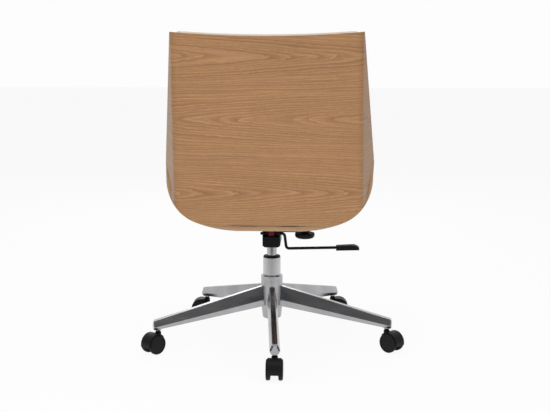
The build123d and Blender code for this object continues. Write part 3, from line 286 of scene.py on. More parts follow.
def plywoodEdge(name, thickness):
    material, tree, shader = newMaterial(name)
    uv = addNode(tree, "ShaderNodeUVMap", uv_map="edge")
    place = addNode(tree, "ShaderNodeSeparateXYZ", {0: uv})
    layer = addNode(tree, "ShaderNodeMath", {0: (place, 1), 1: plyEdge["layers"] / thickness},
                    operation="MULTIPLY")
    pair = addNode(tree, "ShaderNodeMath", {0: layer, 1: 2.0}, operation="FLOORED_MODULO")
    bands = addNode(tree, "ShaderNodeMath", {0: pair, 1: 2.0}, operation="DIVIDE")
    tone = addNode(tree, "ShaderNodeValToRGB", {0: bands}, stops=[
        (0.0, plyEdge["glue"]), (0.04, plyEdge["pale"]), (0.46, plyEdge["pale"]), (0.5, plyEdge["glue"]),
        (0.54, plyEdge["dark"]), (0.96, plyEdge["dark"]), (1.0, plyEdge["glue"])])
    grainScale = perMetre(*plyEdge["grain"]) + (1.0,)
    grainPlace = addNode(tree, "ShaderNodeMapping", {"Vector": uv, "Scale": grainScale})
    grain = addNode(tree, "ShaderNodeTexNoise", {"Vector": grainPlace, "Scale": 1.0, "Detail": 3.0})
    grainTone = addNode(tree, "ShaderNodeMapRange", {0: grain, 1: 0.3, 2: 0.7, 3: 0.82, 4: 1.10})
    colour = addNode(tree, "ShaderNodeMix", {0: 1.0, 6: tone, 7: grainTone}, data_type="RGBA",
                     blend_type="MULTIPLY")
    tree.links.new(colour.outputs[2], shader.inputs["Base Color"])
    bump = addNode(tree, "ShaderNodeBump", {"Strength": 0.3, "Distance": 0.0002, "Height": grain})
    tree.links.new(bump.outputs[0], shader.inputs["Normal"])
    shader.inputs["Roughness"].default_value = 0.5
    shader.inputs["Coat Weight"].default_value = 0.3
    shader.inputs["Coat Roughness"].default_value = 0.3
    return material


# Cream leather: soft pebble grain with painted shade in its grooves, small creases, slow clouds of wear and a
# low sheen. Sizes in mm.
leather = {"base": "#dacdc1", "deep": "#c2b3a5", "pebble": 1.6, "crease": 16.67, "wear": 111.1}


def creamLeather(name):
    material, tree, shader = newMaterial(name)
    place = addNode(tree, "ShaderNodeTexCoord")
    pebbleScale, creaseScale, wearScale = perMetre(leather["pebble"], leather["crease"], leather["wear"])
    pebbles = addNode(tree, "ShaderNodeTexVoronoi", {"Vector": (place, 3), "Scale": pebbleScale},
                      feature="DISTANCE_TO_EDGE")
    grain = addNode(tree, "ShaderNodeMapRange", {0: (pebbles, 0), 1: 0.0, 2: 0.22, 3: 0.0, 4: 1.0})
    creases = addNode(tree, "ShaderNodeTexNoise", {"Vector": (place, 3), "Scale": creaseScale, "Detail": 5.0,
                                                  "Roughness": 0.6, "Distortion": 0.6})
    tone = addNode(tree, "ShaderNodeTexNoise", {"Vector": (place, 3), "Scale": wearScale, "Detail": 3.0})
    toneShare = addNode(tree, "ShaderNodeMapRange", {0: tone, 1: 0.35, 2: 0.7, 3: 0.0, 4: 0.35})
    wear = addNode(tree, "ShaderNodeMix", {0: toneShare, 6: linear(leather["base"]),
                                           7: linear(leather["deep"])}, data_type="RGBA")
    # painted shade: the pebble grain's grooves are darkened towards the deep tone
    paintedGrooveShade = addNode(tree, "ShaderNodeMapRange", {0: grain, 1: 0.0, 2: 1.0, 3: 0.35, 4: 0.0})
    colour = addNode(tree, "ShaderNodeMix", {0: paintedGrooveShade, 6: (wear, 2), 7: linear(leather["deep"])},
                     data_type="RGBA")
    tree.links.new(colour.outputs[2], shader.inputs["Base Color"])
    height = addNode(tree, "ShaderNodeMath", {0: creases, 1: 0.8, 2: grain}, operation="MULTIPLY_ADD")
    bump = addNode(tree, "ShaderNodeBump", {"Strength": 0.35, "Distance": 0.0004, "Height": height})
    tree.links.new(bump.outputs[0], shader.inputs["Normal"])
    rough = addNode(tree, "ShaderNodeMapRange", {0: creases, 1: 0.3, 2: 0.7, 3: 0.48, 4: 0.62})
    tree.links.new(rough.outputs[0], shader.inputs["Roughness"])
    shader.inputs["Sheen Weight"].default_value = 0.12
    return material


# Metals and mouldings share one recipe: a base tone, slow clouds in it, and a fine texture in the gloss
# whose grain is given in mm along x, y and z.
finishes = {
    # polished cast aluminium: a soft mirror with slow waves left by the buffing wheel
    "polishedAluminium": dict(base="#b4b4b6", low="#a2a2a5", metal=1.0, rough=(0.19, 0.27),
                              grain=(111.1, 111.1, 16.67), bump=0.004),
    # chromed steel of the gas spring: mirror with a cool tone
    "chromedSteel": dict(base="#b4b5b8", low="#a8a9ac", metal=1.0, rough=(0.12, 0.2),
                         grain=(33.33, 33.33, 2.5), bump=0.02),
    # satin nickel plate on the column tube: pale, with soft reflections
    "satinNickel": dict(base="#d4d4d6", low="#c8c8ca", metal=1.0, rough=(0.34, 0.44),
                        grain=(3.333, 3.333, 3.333), bump=0.05),
    # black nylon mouldings: spark-eroded texture, coarser than the real one so that it shows
    "blackNylon": dict(base="#121214", low="#0e0e10", metal=0.0, gloss=0.2, rough=(0.42, 0.58),
                       grain=(1.111, 1.111, 1.111), bump=0.14),
    # black powder coat on pressed steel: slight orange peel
    "blackPowderCoat": dict(base="#0f0f11", low="#0b0b0d", metal=0.0, gloss=0.2, rough=(0.38, 0.50),
                            grain=(2.0, 2.0, 2.0), bump=0.18),
    # dark red acetal of the release rocker: even and half gloss
    "redAcetal": dict(base="#6a0f1e", low="#540b17", metal=0.0, gloss=0.2, rough=(0.30, 0.40),
                      grain=(5.0, 5.0, 5.0), bump=0.05),
    # off-white acetal of the bushes: waxy and half gloss
    "paleAcetal": dict(base="#dcd9cd", low="#cfcbbd", metal=0.0, rough=(0.35, 0.48),
                       grain=(5.0, 5.0, 5.0), bump=0.06),
    # black rubber of the stop: dull
    "blackRubber": dict(base="#2a2a2a", low="#202020", metal=0.0, rough=(0.70, 0.85),
                        grain=(3.333, 3.333, 3.333), bump=0.15),
    # zinc-plated steel: grey with a cloudy passivated bloom
    "zincSteel": dict(base="#b9b9b4", low="#9c9c98", metal=1.0, rough=(0.26, 0.42),
                      grain=(7.143, 7.143, 7.143), bump=0.05),
}
cloudSize = 71.43    # of the clouds in the tone, mm


def finish(name):
    look = finishes[name]
    material, tree, shader = newMaterial(name)
    place = addNode(tree, "ShaderNodeTexCoord")
    clouds = addNode(tree, "ShaderNodeTexNoise", {"Vector": (place, 3), "Scale": perMetre(cloudSize)[0],
                                                 "Detail": 3.0})
    share = addNode(tree, "ShaderNodeMapRange", {0: clouds, 1: 0.3, 2: 0.7, 3: 0.0, 4: 1.0})
    colour = addNode(tree, "ShaderNodeMix", {0: share, 6: linear(look["base"]), 7: linear(look["low"])},
                     data_type="RGBA")
    tree.links.new(colour.outputs[2], shader.inputs["Base Color"])
    finePlace = addNode(tree, "ShaderNodeMapping", {"Vector": (place, 3), "Scale": perMetre(*look["grain"])})
    fine = addNode(tree, "ShaderNodeTexNoise", {"Vector": finePlace, "Scale": 1.0, "Detail": 3.0})
    glossiest, dullest = look["rough"]
    rough = addNode(tree, "ShaderNodeMapRange", {0: fine, 1: 0.3, 2: 0.7, 3: glossiest, 4: dullest})
    tree.links.new(rough.outputs[0], shader.inputs["Roughness"])
    bump = addNode(tree, "ShaderNodeBump", {"Strength": look["bump"], "Distance": 0.0003, "Height": fine})
    tree.links.new(bump.outputs[0], shader.inputs["Normal"])
    shader.inputs["Metallic"].default_value = look["metal"]
    shader.inputs["Specular IOR Level"].default_value = look.get("gloss", 0.5)
    return material


made = {name: finish(name) for name in finishes}
oakFace = oakVeneer("lacqueredOakVeneer", "veneer")
cream = creamLeather("creamLeather")

slotLooks = {
    "polished_aluminium": "polishedAluminium", "chromed_steel": "chromedSteel", "grey_steel": "satinNickel",
    "black_plastic": "blackNylon", "black_steel": "blackPowderCoat", "red_plastic": "redAcetal",
    "pale_plastic": "paleAcetal", "black_rubber": "blackRubber", "zinc_steel": "zincSteel",
}
for row in frame["record"]["subparts"]:
    look = slotLooks.get(row["material_slot"])
    if look:
        mesh = nodes[row["node"]].data
        mesh.materials.clear()
        mesh.materials.append(made[look])
print("stage: materials made")


# plywood shells, drawn again with laid veneer and layered edges; millimetres until they are placed

def softened(chain, corner, reach, steps=10):
    # the chain with one corner rounded, starting this far along each side of it
    at = np.asarray(chain[corner], float)
    before = [p for p in chain[:corner] if math.dist(p, at) > reach]
    after = [p for p in chain[corner + 1:] if math.dist(p, at) > reach]
    tail = np.asarray(before[-1] if before else chain[corner - 1], float)
    head = np.asarray(after[0] if after else chain[corner + 1], float)
    start = at + (tail - at) * reach / math.dist(tail, at)
    stop = at + (head - at) * reach / math.dist(head, at)
    bend = []
    for i in range(steps + 1):
        t = i / steps
        bend.append(tuple(start * (1 - t) ** 2 + at * 2 * t * (1 - t) + stop * t * t))
    return before + bend + after


def arcThrough(a, b, c, steps):
    # points on the circle through three points, from the first to the last
    (ax, ay), (bx, by), (cx, cy) = a, b, c
    d = 2 * (ax * (by - cy) + bx * (cy - ay) + cx * (ay - by))
    ux = ((ax**2 + ay**2) * (by - cy) + (bx**2 + by**2) * (cy - ay) + (cx**2 + cy**2) * (ay - by)) / d
    uy = ((ax**2 + ay**2) * (cx - bx) + (bx**2 + by**2) * (ax - cx) + (cx**2 + cy**2) * (bx - ax)) / d
    r = math.hypot(ax - ux, ay - uy)
    first = math.atan2(ay - uy, ax - ux)
    turn = (math.atan2(cy - uy, cx - ux) - first + math.pi) % (2 * math.pi) - math.pi
    return [(ux + r * math.cos(first + turn * i / steps), uy + r * math.sin(first + turn * i / steps))
            for i in range(steps + 1)]


innerShift = (0.31, 0.0)    # the inner face shows another part of the veneer, m


def shellPiece(name, pointAt, rows, columns, setup, node):
    # pointAt gives places and veneer positions for arrays of row and column shares, at a depth and an inset
    thickness, bevel = setup["thickness"], setup["bevel"]
    grids = []
    for depth in (0.0, thickness):
        share, column = np.meshgrid(rows, columns, indexing="ij")
        grids.append(pointAt(share, column, depth, bevel))
    count, wide = len(rows), len(columns)
    rim = [(0, j) for j in range(wide)] + [(i, wide - 1) for i in range(1, count)]
    rim += [(count - 1, j) for j in range(wide - 2, -1, -1)] + [(i, 0) for i in range(count - 2, 0, -1)]
    rimRows = np.array([[rows[i] for i, j in rim]])
    rimColumns = np.array([[columns[j] for i, j in rim]])
    soft = 0.3 * bevel
    layers = [(soft, soft), (bevel, 0.0), (thickness - bevel, 0.0), (thickness - soft, soft)]
    loops = [pointAt(rimRows, rimColumns, depth, inset)[0][0] for depth, inset in layers]
    verts = np.concatenate([grids[0][0].reshape(-1, 3), grids[1][0].reshape(-1, 3)] + loops) / 1000
    back = count * wide
    faces, faceIs = [], []
    for i in range(count - 1):
        for j in range(wide - 1):
            quad = (i * wide + j, i * wide + j + 1, (i + 1) * wide + j + 1, (i + 1) * wide + j)
            faces.append(quad)
            faces.append(tuple(back + q for q in quad)[::-1])
            faceIs += [0, 0]
    around = len(rim)
    flat = [i * wide + j for i, j in rim]
    chain = [flat] + [[2 * back + k * around + n for n in range(around)] for k in range(len(layers))]
    chain.append([back + q for q in flat])
    depths = [0.0] + [depth for depth, inset in layers] + [thickness]
    middle = loops[1] / 1000
    run = np.concatenate([[0.0], np.cumsum(np.linalg.norm(np.roll(middle, -1, axis=0) - middle, axis=1))])
    edgeUv = {}
    for k in range(len(chain) - 1):
        for n in range(around):
            m = (n + 1) % around
            edgeUv[len(faces)] = [(run[n], depths[k]), (run[n], depths[k + 1]), (run[n + 1], depths[k + 1]),
                                  (run[n + 1], depths[k])]
            faces.append((chain[k][n], chain[k + 1][n], chain[k + 1][m], chain[k][m]))
            faceIs.append(1)
    piece = newPiece(name, verts, faces, oakFace, "seat")
    mesh = piece.data
    mesh.materials.append(plywoodEdge(setup["edgeLook"], thickness / 1000))
    veneerUv = mesh.uv_layers.new(name="veneer")
    edge = mesh.uv_layers.new(name="edge")
    laid = np.concatenate([grids[0][1].reshape(-1, 2), grids[1][1].reshape(-1, 2) + innerShift])
    for polygon in mesh.polygons:
        polygon.material_index = faceIs[polygon.index]
        polygon.use_smooth = True
        for k, loop in enumerate(polygon.loop_indices):
            if faceIs[polygon.index] == 0:
                veneerUv.data[loop].uv = laid[mesh.loops[loop].vertex_index]
            else:
                edge.data[loop].uv = edgeUv[polygon.index][k]
    sharp = {tuple(sorted((ring[n], ring[(n + 1) % around])))
             for ring in (chain[0], chain[-1]) for n in range(around)}
    for line in mesh.edges:
        if tuple(sorted(line.vertices)) in sharp:
            line.use_edge_sharp = True
    bm = bmesh.new()
    bm.from_mesh(mesh)
    bmesh.ops.recalc_face_normals(bm, faces=bm.faces)
    bm.to_mesh(mesh)
    bm.free()
    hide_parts(node)


backPanel = {
    "thickness": 12.0, "recline": 9.0, "footY": 200.0, "footZ": 374.0, "height": 504.0, "topDip": 9.0,
    "halfFoot": 237.0, "halfTop": 230.0, "bend": 16.0, "flare": 20.0,
    "cornerX": 147.0, "cornerRound": 126.0, "bevel": 0.9,
    "wingEdge": [(187, 340), (187, 398), (129, 543), (266, 886)], "tipRound": 6.0, "wingRound": 12.0,
    "rows": 111, "columns": 141, "edgeLook": "plywoodEdgeBack",
}
wingChain = softened(backPanel["wingEdge"], 2, backPanel["tipRound"])
wingChain = np.array(softened(wingChain, 1, backPanel["wingRound"]))


def backSection(s, half, depth):
    # across the panel: flat, then the bend, then the straight wing; x and the way to the rear
    size = backPanel["bend"]
    turn = math.radians(90 - backPanel["flare"])
    angle = np.clip((np.abs(s) - half) / size, 0, turn)
    past = np.maximum(np.abs(s) - half - size * turn, 0)
    x = np.minimum(np.abs(s), half) + (size - depth) * np.sin(angle) + past * np.cos(turn)
    y = -size + (size - depth) * np.cos(angle) - past * np.sin(turn)
    return np.sign(s) * x, y


def backPlace(s, h, depth):
    lean = math.radians(backPanel["recline"])
    half = backPanel["halfFoot"] + (backPanel["halfTop"] - backPanel["halfFoot"]) * h / backPanel["height"]
    x, y = backSection(s, half, depth)
    return (x, backPanel["footY"] + h * math.sin(lean) + y * math.cos(lean),
            backPanel["footZ"] + h * math.cos(lean) - y * math.sin(lean))


def backReach(h, depth):
    # how far out the panel runs at each height: the rounded lower corners, then the wing's front edge;
    # found by halving between the middle and a place past every edge
    low, high = np.zeros_like(h), np.full_like(h, 520.0)
    size, corner = backPanel["cornerRound"], backPanel["cornerX"]
    for _ in range(40):
        s = (low + high) / 2
        x, y, z = backPlace(s, h, depth)
        drop = np.clip(backPanel["footZ"] + size - z, 0, size)
        widest = np.where(drop > 0, corner + np.sqrt(size**2 - drop**2), np.inf)
        inside = (x <= widest) & (y >= np.interp(z, wingChain[:, 1], wingChain[:, 0]))
        low, high = np.where(inside, s, low), np.where(inside, high, s)
    return low


def backRim(column, depth, inset):
    # where each column ends above: the top edge is an arc that sinks between the corners
    rise = math.cos(math.radians(backPanel["recline"]))
    dip = backPanel["topDip"]
    sweep = (backPanel["halfTop"] ** 2 + dip**2) / (2 * dip)
    rim = np.full_like(column, backPanel["height"])
    for _ in range(4):
        x, y, z = backPlace(column * (backReach(rim, depth) - inset), rim, depth)
        level = backPanel["footZ"] + backPanel["height"] * rise + sweep - np.sqrt(sweep**2 - x**2)
        rim = rim + (level - z) / rise
    return rim


def backPoint(share, column, depth, inset):
    foot = -depth * math.tan(math.radians(backPanel["recline"])) + inset
    h = foot + (backRim(column, depth, inset) - inset - foot) * share**2
    s = column * (backReach(h, depth) - inset)
    places = np.stack(backPlace(s, h, depth), axis=-1)
    return places, np.stack([s / 1000, h / 1000], axis=-1)


backColumns = np.linspace(-1, 1, backPanel["columns"])
shellPiece("backShell", backPoint, np.linspace(0, 1, backPanel["rows"]), backColumns, backPanel, "back_shell")

tray = {
    "thickness": 14.0, "underside": 356.0, "flat": 76.0, "wideBend": 340.0, "wideTurn": 20.5,
    "corner": 128.0, "lean": 4.0, "bevel": 0.9,
    "rear": [(184, 300), (184, 398), (126, 543)], "front": [(-285, 300), (-285, 420)],
    "armMiddle": (-90, 505), "rearRound": 12.0, "tipRound": 8.0, "frontRound": 16.0,
    "rows": 41, "columns": 201, "crowding": 1.6, "edgeLook": "plywoodEdgeSeat",
    "veneerStart": 0.4,    # where the veneer starts along the tray, m
}
armTop = arcThrough(tray["front"][1], tray["armMiddle"], tray["rear"][2], 60)
trayChain = tray["front"][:1] + armTop + tray["rear"][1::-1]
trayChain = softened(trayChain, len(trayChain) - 2, tray["rearRound"])
trayChain = softened(trayChain, trayChain.index(armTop[-1]), tray["tipRound"])
trayChain = np.array(softened(trayChain, 1, tray["frontRound"]))
trayTop = int(np.argmax(trayChain[:, 1]))


def trayPlace(s, depth):
    # across the tray: level, two bends, then the leaning arm
    turn, end = math.radians(tray["wideTurn"]), math.radians(90 - tray["lean"])
    first, second = tray["wideBend"], tray["corner"]
    out = np.abs(s) - tray["flat"]
    a = np.clip(out / first, 0, turn)
    b = np.clip((out - first * turn) / second, 0, end - turn) + turn
    past = np.maximum(out - first * turn - second * (end - turn), 0)
    x = np.minimum(np.abs(s), tray["flat"]) + (first - depth) * np.sin(a)
    z = tray["underside"] + first - (first - depth) * np.cos(a)
    x = x + (second - depth) * (np.sin(b) - math.sin(turn)) + past * math.cos(end)
    z = z + (second - depth) * (math.cos(turn) - np.cos(b)) + past * math.sin(end)
    return np.sign(s) * x, z


def trayReach(depth):
    # how far out the tray runs, up to the arms' highest point; found by halving
    low, high = 0.0, 600.0
    for _ in range(50):
        s = (low + high) / 2
        if trayPlace(np.array(s), depth)[1] < trayChain[trayTop, 1]:
            low = s
        else:
            high = s
    return low


def trayPoint(share, column, depth, inset):
    s = column * (trayReach(depth) - inset)
    x, z = trayPlace(s, depth)
    front = np.interp(z, trayChain[:trayTop + 1, 1], trayChain[:trayTop + 1, 0]) + inset
    rear = np.interp(z, trayChain[trayTop:, 1][::-1], trayChain[trayTop:, 0][::-1]) - inset
    rear = np.maximum(rear, front)
    y = front + (rear - front) * share
    return np.stack([x, y, z], axis=-1), np.stack([s / 1000, y / 1000 + tray["veneerStart"]], axis=-1)


# columns crowd towards the arms' corners, where the outline turns
steps = np.linspace(-1, 1, tray["columns"])
trayColumns = np.sign(steps) * (1 - (1 - np.abs(steps)) ** tray["crowding"])
shellPiece("seatShell", trayPoint, np.linspace(0, 1, tray["rows"]), trayColumns, tray, "seat_shell")
print("stage: plywood shells laid")


# cushions: the CAD pads under a skin that is blown up a little, with a sewn edge

# what both cushions share; lengths in metres
sewing = {
    "voxel": 0.006, "slack": 0.004, "pressure": 4.0, "cap": 0.005,
    "freeFrom": -0.1, "freeSpan": 0.5,    # a point is free by how far its normal turns to the sitter
    "piping": 0.0026, "weltStep": 0.006, "seamDeep": 0.003, "seamReach": 0.014,
    "stitchIn": 0.008, "stitch": 0.007, "thread": 0.0007, "weltSides": 10, "threadSides": 6,
    "rayFrom": 0.3,                       # the edge is laid on the cushion from this far above it
}
lean = math.radians(backPanel["recline"])
# ring: half the width, low and high end and corner radius of the sewn edge, from the origin
cushions = {
    "seat": {**sewing, "node": "seat_cushion", "fill": 0.8, "toSitter": (0.0, 0.0, 1.0),
             "ring": (0.222, -0.252, 0.140, 0.045), "origin": (0.0, 0.0, 0.4)},
    "back": {**sewing, "node": "back_cushion", "fill": 0.7,
             "toSitter": (0.0, -math.cos(lean), math.sin(lean)),
             "ring": (0.207, 0.105, 0.476, 0.045), "origin": (0.0, 0.2, 0.374),
             "rise": 0.0002, "riseFrom": 0.76},
}
clothSettings = {
    "quality": 6, "mass": 0.25, "tension_stiffness": 12, "compression_stiffness": 12, "shear_stiffness": 6,
    "bending_stiffness": 0.4, "use_pressure": True, "vertex_group_mass": "held",
}
blowFrames = 20


def baked(piece):
    # the piece's mesh with its modifiers in it
    view = bpy.context.evaluated_depsgraph_get()
    mesh = bpy.data.meshes.new_from_object(piece.evaluated_get(view))
    piece.modifiers.clear()
    piece.data = mesh
    return mesh


def vertexTable(mesh, what):
    # one row of three numbers for each vertex, its place ("co") or its normal ("normal")
    table = np.empty(len(mesh.vertices) * 3, np.float32)
    mesh.vertices.foreach_get(what, table)
    return table.reshape(-1, 3)


def placeVertices(mesh, places):
    mesh.vertices.foreach_set("co", np.ascontiguousarray(places, np.float32).ravel())
    mesh.update()


def cushion(name, setup):
    mesh = nodes[setup["node"]].data.copy()
    mesh.materials.clear()
    mesh.materials.append(cream)
    piece = bpy.data.objects.new(name, mesh)
    scene.collection.objects.link(piece)
    skin = piece.modifiers.new("skin", "REMESH")
    skin.mode = "VOXEL"
    skin.voxel_size = setup["voxel"]
    even = piece.modifiers.new("even", "SMOOTH")
    even.iterations = 4
    mesh = baked(piece)
    # the skin starts a little small and is free only on the sitter's side
    normals = vertexTable(mesh, "normal")
    turned = normals @ np.array(setup["toSitter"])
    free = np.clip((turned - setup["freeFrom"]) / setup["freeSpan"], 0.0, 1.0)
    rest = vertexTable(mesh, "co") - normals * (setup["slack"] * free)[:, None]
    placeVertices(mesh, rest)
    held = piece.vertex_groups.new(name="held")
    for i, share in enumerate(free):
        held.add([i], 1.0 - float(share), "REPLACE")
    cloth = piece.modifiers.new("cloth", "CLOTH")
    for key, value in clothSettings.items():
        setattr(cloth.settings, key, value)
    cloth.settings.uniform_pressure_force = setup["pressure"]
    cloth.settings.effector_weights.gravity = 0
    cloth.collision_settings.use_collision = False
    cloth.point_cache.frame_start = 1
    cloth.point_cache.frame_end = blowFrames
    for moment in range(1, blowFrames + 1):
        scene.frame_set(moment)
    mesh = baked(piece)
    scene.frame_set(1)
    piece.vertex_groups.clear()
    # no point moves further than the cap
    moved = vertexTable(mesh, "co") - rest
    length = np.maximum(np.linalg.norm(moved, axis=1), 1e-9)
    placeVertices(mesh, rest + moved * np.minimum(1.0, setup["cap"] * free / length)[:, None])
    rounding = piece.modifiers.new("round", "SUBSURF")
    rounding.levels = 1
    shadeSmooth(baked(piece))
    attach(piece, "seat")
    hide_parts(setup["node"])
    return piece


def roundedRing(halfWide, low, high, corner, gap):
    # evenly spaced points round a rectangle with round corners
    outline = []
    top, foot = high - corner, low + corner
    for x, y, first in ((1, top, 0), (-1, top, 90), (-1, foot, 180), (1, foot, 270)):
        for turn in range(0, 91, 6):
            angle = math.radians(first + turn)
            outline.append((x * (halfWide - corner) + corner * math.cos(angle), y + corner * math.sin(angle)))
    outline = np.array(outline + outline[:1])
    run = np.concatenate([[0.0], np.cumsum(np.linalg.norm(np.diff(outline, axis=0), axis=1))])
    spots = np.linspace(0, run[-1], int(run[-1] / gap), endpoint=False)
    return zip(np.interp(spots, run, outline[:, 0]), np.interp(spots, run, outline[:, 1]))


def dropped(tree, setup, inset, gap):
    # the cushion's ring, brought in by an inset and laid on its surface: places and normals
    sitter = Vector(setup["toSitter"])
    up = sitter.cross(Vector((1, 0, 0)))
    wide, low, high, corner = setup["ring"]
    path = []
    for x, y in roundedRing(wide - inset, low + inset, high - inset, corner - inset, gap):
        above = Vector(setup["origin"]) + Vector((x, 0, 0)) + up * y + sitter * setup["rayFrom"]
        place, normal, face, reach = tree.ray_cast(above, -sitter)
        path.append((place, normal))
    return path


def sewnEdge(name, piece, setup):
    # a welt in a drawn-in seam round the cushion's face, and a row of stitches inside it
    places, normals = vertexTable(piece.data, "co"), vertexTable(piece.data, "normal")
    if "rise" in setup:
        # the top follows the shell's arc and shows a little above it
        level = setup["riseFrom"]
        share = np.clip((places[:, 2] - level) / (places[:, 2].max() - level), 0.0, 1.0)
        arc = backPanel["topDip"] * (places[:, 0] * 1000 / backPanel["halfTop"]) ** 2 / 1000
        places[:, 2] += (setup["rise"] + arc) * share**2 * (3 - 2 * share)
        placeVertices(piece.data, places)
    tree = BVHTree.FromPolygons(places.tolist(), [p.vertices for p in piece.data.polygons])
    path = dropped(tree, setup, 0.0, setup["weltStep"])
    seam = KDTree(len(path))
    for i, (place, normal) in enumerate(path):
        seam.insert(place, i)
    seam.balance()
    reach = np.array([seam.find(place)[2] for place in places.tolist()])
    pull = setup["seamDeep"] * np.clip(1 - reach / setup["seamReach"], 0.0, 1.0) ** 2
    placeVertices(piece.data, places - normals * pull[:, None])
    size = setup["piping"]
    welt = tube([place - normal * 0.5 * size for place, normal in path], size, setup["weltSides"], True)
    # each stitch arches from one needle hole to the next
    threadVerts, threadFaces = [], []
    holes = dropped(tree, setup, setup["stitchIn"], setup["stitch"] / 2)
    for (start, normal), (stop, other) in zip(holes[::2], holes[1::2]):
        lift = normal * setup["thread"] * 0.4
        middle = (start + stop) / 2 + normal * setup["thread"]
        bow = [start - lift, start.lerp(middle, 0.5) + lift, middle,
               stop.lerp(middle, 0.5) + lift, stop - lift]
        verts, faces = tube(bow, setup["thread"], setup["threadSides"], False)
        threadFaces += [tuple(k + len(threadVerts) for k in face) for face in faces]
        threadVerts += verts
    for title, (verts, faces) in (("Welt", welt), ("Stitches", (threadVerts, threadFaces))):
        trim = newPiece(name + title, verts, faces, cream, "seat")
        shadeSmooth(trim.data)


seatCushion = cushion("seatCushion", cushions["seat"])
backCushion = cushion("backCushion", cushions["back"])
sewnEdge("seat", seatCushion, cushions["seat"])
sewnEdge("back", backCushion, cushions["back"])
print("stage: cushions blown up,", len(seatCushion.data.polygons) + len(backCushion.data.polygons), "faces")


# tension spring, drawn as a wound wire
springLook = {"x": -0.094, "y": 0.0, "low": 0.3306, "high": 0.3527, "radius": 0.00975, "wire": 0.00125,
              "turns": 3, "perTurn": 32, "sides": 10}
bottom = springLook["low"] + springLook["wire"]
climb = springLook["high"] - springLook["wire"] - bottom
count = springLook["turns"] * springLook["perTurn"]
coil = []
for i in range(count + 1):
    angle = 2 * math.pi * i / springLook["perTurn"]
    coil.append((springLook["x"] + springLook["radius"] * math.cos(angle),
                 springLook["y"] + springLook["radius"] * math.sin(angle),
                 bottom + climb * i / count))
verts, faces = tube(coil, springLook["wire"], springLook["sides"], False)
spring = newPiece("tensionSpring", verts, faces, made["zincSteel"], "lift")
shadeSmooth(spring.data)
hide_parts("tension_spring")
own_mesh(spring)
print("stage: spring wound")


# studio

studio = {
    "paper": "#f4f4f4", "paperGlow": 0.92, "paperSize": 30.0, "paperHigh": -0.0005,
    "paperEnd": 1.1, "bareFloorHigh": 0.002,
    "room": 0.15, "roomHigh": 3.0, "roomWide": 12.0, "roomDeep": 6.0, "roomFront": -1.5,
    "ambient": 0.30, "backdrop": 0.98, "aim": (0.0, 0.0, 0.5),
    "top": dict(place=(0.0, 0.5, 2.8), size=2.2, power=27.0),
    "left": dict(place=(2.4, 2.2, 2.0), size=1.5, power=17.0),
    "right": dict(place=(-2.4, 2.2, 2.0), size=1.5, power=15.0),
    "rear": dict(place=(0.0, 3.4, 1.9), size=1.6, power=17.0, mirrored=False),
    "front": dict(place=(0.3, -2.6, 2.0), size=1.6, power=24.0),
    "low": dict(place=(0.0, 1.5, 0.06), size=1.2, power=12.0, mirrored=False),
}


def lightCard(name, place, size, power, mirrored=True):
    lamp = bpy.data.lights.new(name, "AREA")
    lamp.shape = "SQUARE"
    lamp.size = size
    lamp.energy = power
    card = bpy.data.objects.new(name, lamp)
    scene.collection.objects.link(card)
    card.location = place
    card.rotation_euler = (Vector(studio["aim"]) - Vector(place)).to_track_quat("-Z", "Y").to_euler()
    card.visible_camera = False
    card.visible_glossy = mirrored


for name in ("top", "left", "right", "rear", "front", "low"):
    lightCard(name, **studio[name])


def panel(name, corners, material):
    mesh = bpy.data.meshes.new(name)
    mesh.from_pydata(corners, [], [(0, 1, 2, 3)])
    mesh.materials.append(material)
    plane = bpy.data.objects.new(name, mesh)
    scene.collection.objects.link(plane)
    return plane


def seenByEye(tree):
    # 1 for rays from the eye, also by way of a mirror or glass, and 0 for the light that falls on things
    rays = addNode(tree, "ShaderNodeLightPath")
    seen = addNode(tree, "ShaderNodeMath", {0: (rays, "Is Camera Ray"), 1: (rays, "Is Glossy Ray")},
                   operation="ADD")
    return addNode(tree, "ShaderNodeMath", {0: seen, 1: (rays, "Is Transmission Ray")}, operation="ADD",
                   use_clamp=True)


# white paper floor that glows to the eye, so that it is almost white but keeps a soft shadow
paper, tree, shader = newMaterial("whitePaper")
shader.inputs["Base Color"].default_value = linear(studio["paper"])
shader.inputs["Roughness"].default_value = 0.9
shader.inputs["Specular IOR Level"].default_value = 0.0
share = addNode(tree, "ShaderNodeMath", {0: seenByEye(tree), 1: studio["paperGlow"]}, operation="MULTIPLY")
glow = addNode(tree, "ShaderNodeEmission", {"Color": (1, 1, 1, 1), "Strength": 1.0})
mixed = addNode(tree, "ShaderNodeMixShader", {0: share, 1: shader, 2: glow})
tree.links.new(mixed.outputs[0], tree.nodes["Material Output"].inputs["Surface"])
half, under = studio["paperSize"] / 2, studio["paperHigh"]
sheet = [(-half, -half, under), (half, -half, under), (half, half, under), (-half, half, under)]
panel("floor", sheet, paper)

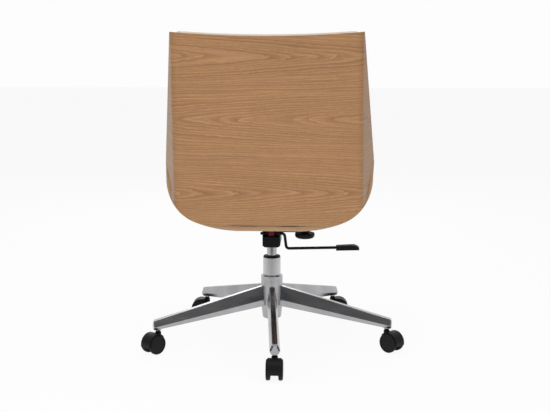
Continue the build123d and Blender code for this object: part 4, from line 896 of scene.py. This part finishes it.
# the dim room round the camera, seen only in reflections: ceiling, walls, and floor past the end of the paper
dim, tree, shader = newMaterial("dimRoom")
glow = addNode(tree, "ShaderNodeEmission", {"Color": (1, 1, 1, 1), "Strength": studio["room"]})
tree.links.new(glow.outputs[0], tree.nodes["Material Output"].inputs["Surface"])
side, high, deep, far = studio["roomWide"] / 2, studio["roomHigh"], studio["roomDeep"], studio["roomFront"]
near, low = studio["paperEnd"], studio["bareFloorHigh"]
room = {
    "ceiling": [(-side, far, high), (side, far, high), (side, deep, high), (-side, deep, high)],
    "leftWall": [(side, far, 0.0), (side, deep, 0.0), (side, deep, high), (side, far, high)],
    "rightWall": [(-side, far, 0.0), (-side, deep, 0.0), (-side, deep, high), (-side, far, high)],
    "wall": [(-side, deep, 0.0), (side, deep, 0.0), (side, deep, high), (-side, deep, high)],
    "bareFloor": [(-side, near, low), (side, near, low), (side, deep, low), (-side, deep, low)],
}
for name, corners in room.items():
    plane = panel(name, corners, dim)
    plane.visible_camera = False
    plane.visible_diffuse = False
    plane.visible_shadow = False

world = bpy.data.worlds.new("studio")
scene.world = world
world.use_nodes = True
tree = world.node_tree
tree.nodes.clear()
white = addNode(tree, "ShaderNodeBackground", {"Color": (1, 1, 1, 1), "Strength": studio["backdrop"]})
ambient = addNode(tree, "ShaderNodeBackground", {"Color": (1, 1, 1, 1), "Strength": studio["ambient"]})
blend = addNode(tree, "ShaderNodeMixShader", {0: seenByEye(tree), 1: ambient, 2: white})
addNode(tree, "ShaderNodeOutputWorld", {0: blend})

# the photograph's viewpoint: straight behind the chair, a little above it; metres, pixels of the photograph
# and degrees
view = {"distance": 2.9, "height": 0.87, "side": -0.14, "focalPx": 1035.0, "widthPx": 550.0, "pitch": 9.3,
        "aside": 3.2}
lens = bpy.data.cameras.new("photoView")
lens.sensor_width = 36.0
lens.lens = lens.sensor_width * view["focalPx"] / view["widthPx"]
camera = bpy.data.objects.new("photoView", lens)
scene.collection.objects.link(camera)
camera.location = (view["side"], view["distance"], view["height"])
toColumn = Vector((-view["side"], -view["distance"])).normalized()
turn = math.atan(view["aside"] / view["focalPx"])
rightHand = Vector((toColumn.y, -toColumn.x))
level = toColumn * math.cos(turn) + rightHand * math.sin(turn)
tilt = math.radians(view["pitch"])
ahead = Vector((level.x * math.cos(tilt), level.y * math.cos(tilt), -math.sin(tilt)))
camera.rotation_euler = ahead.to_track_quat("-Z", "Y").to_euler()
scene.camera = camera
scene.view_settings.view_transform = "Standard"
print("stage: studio lit")
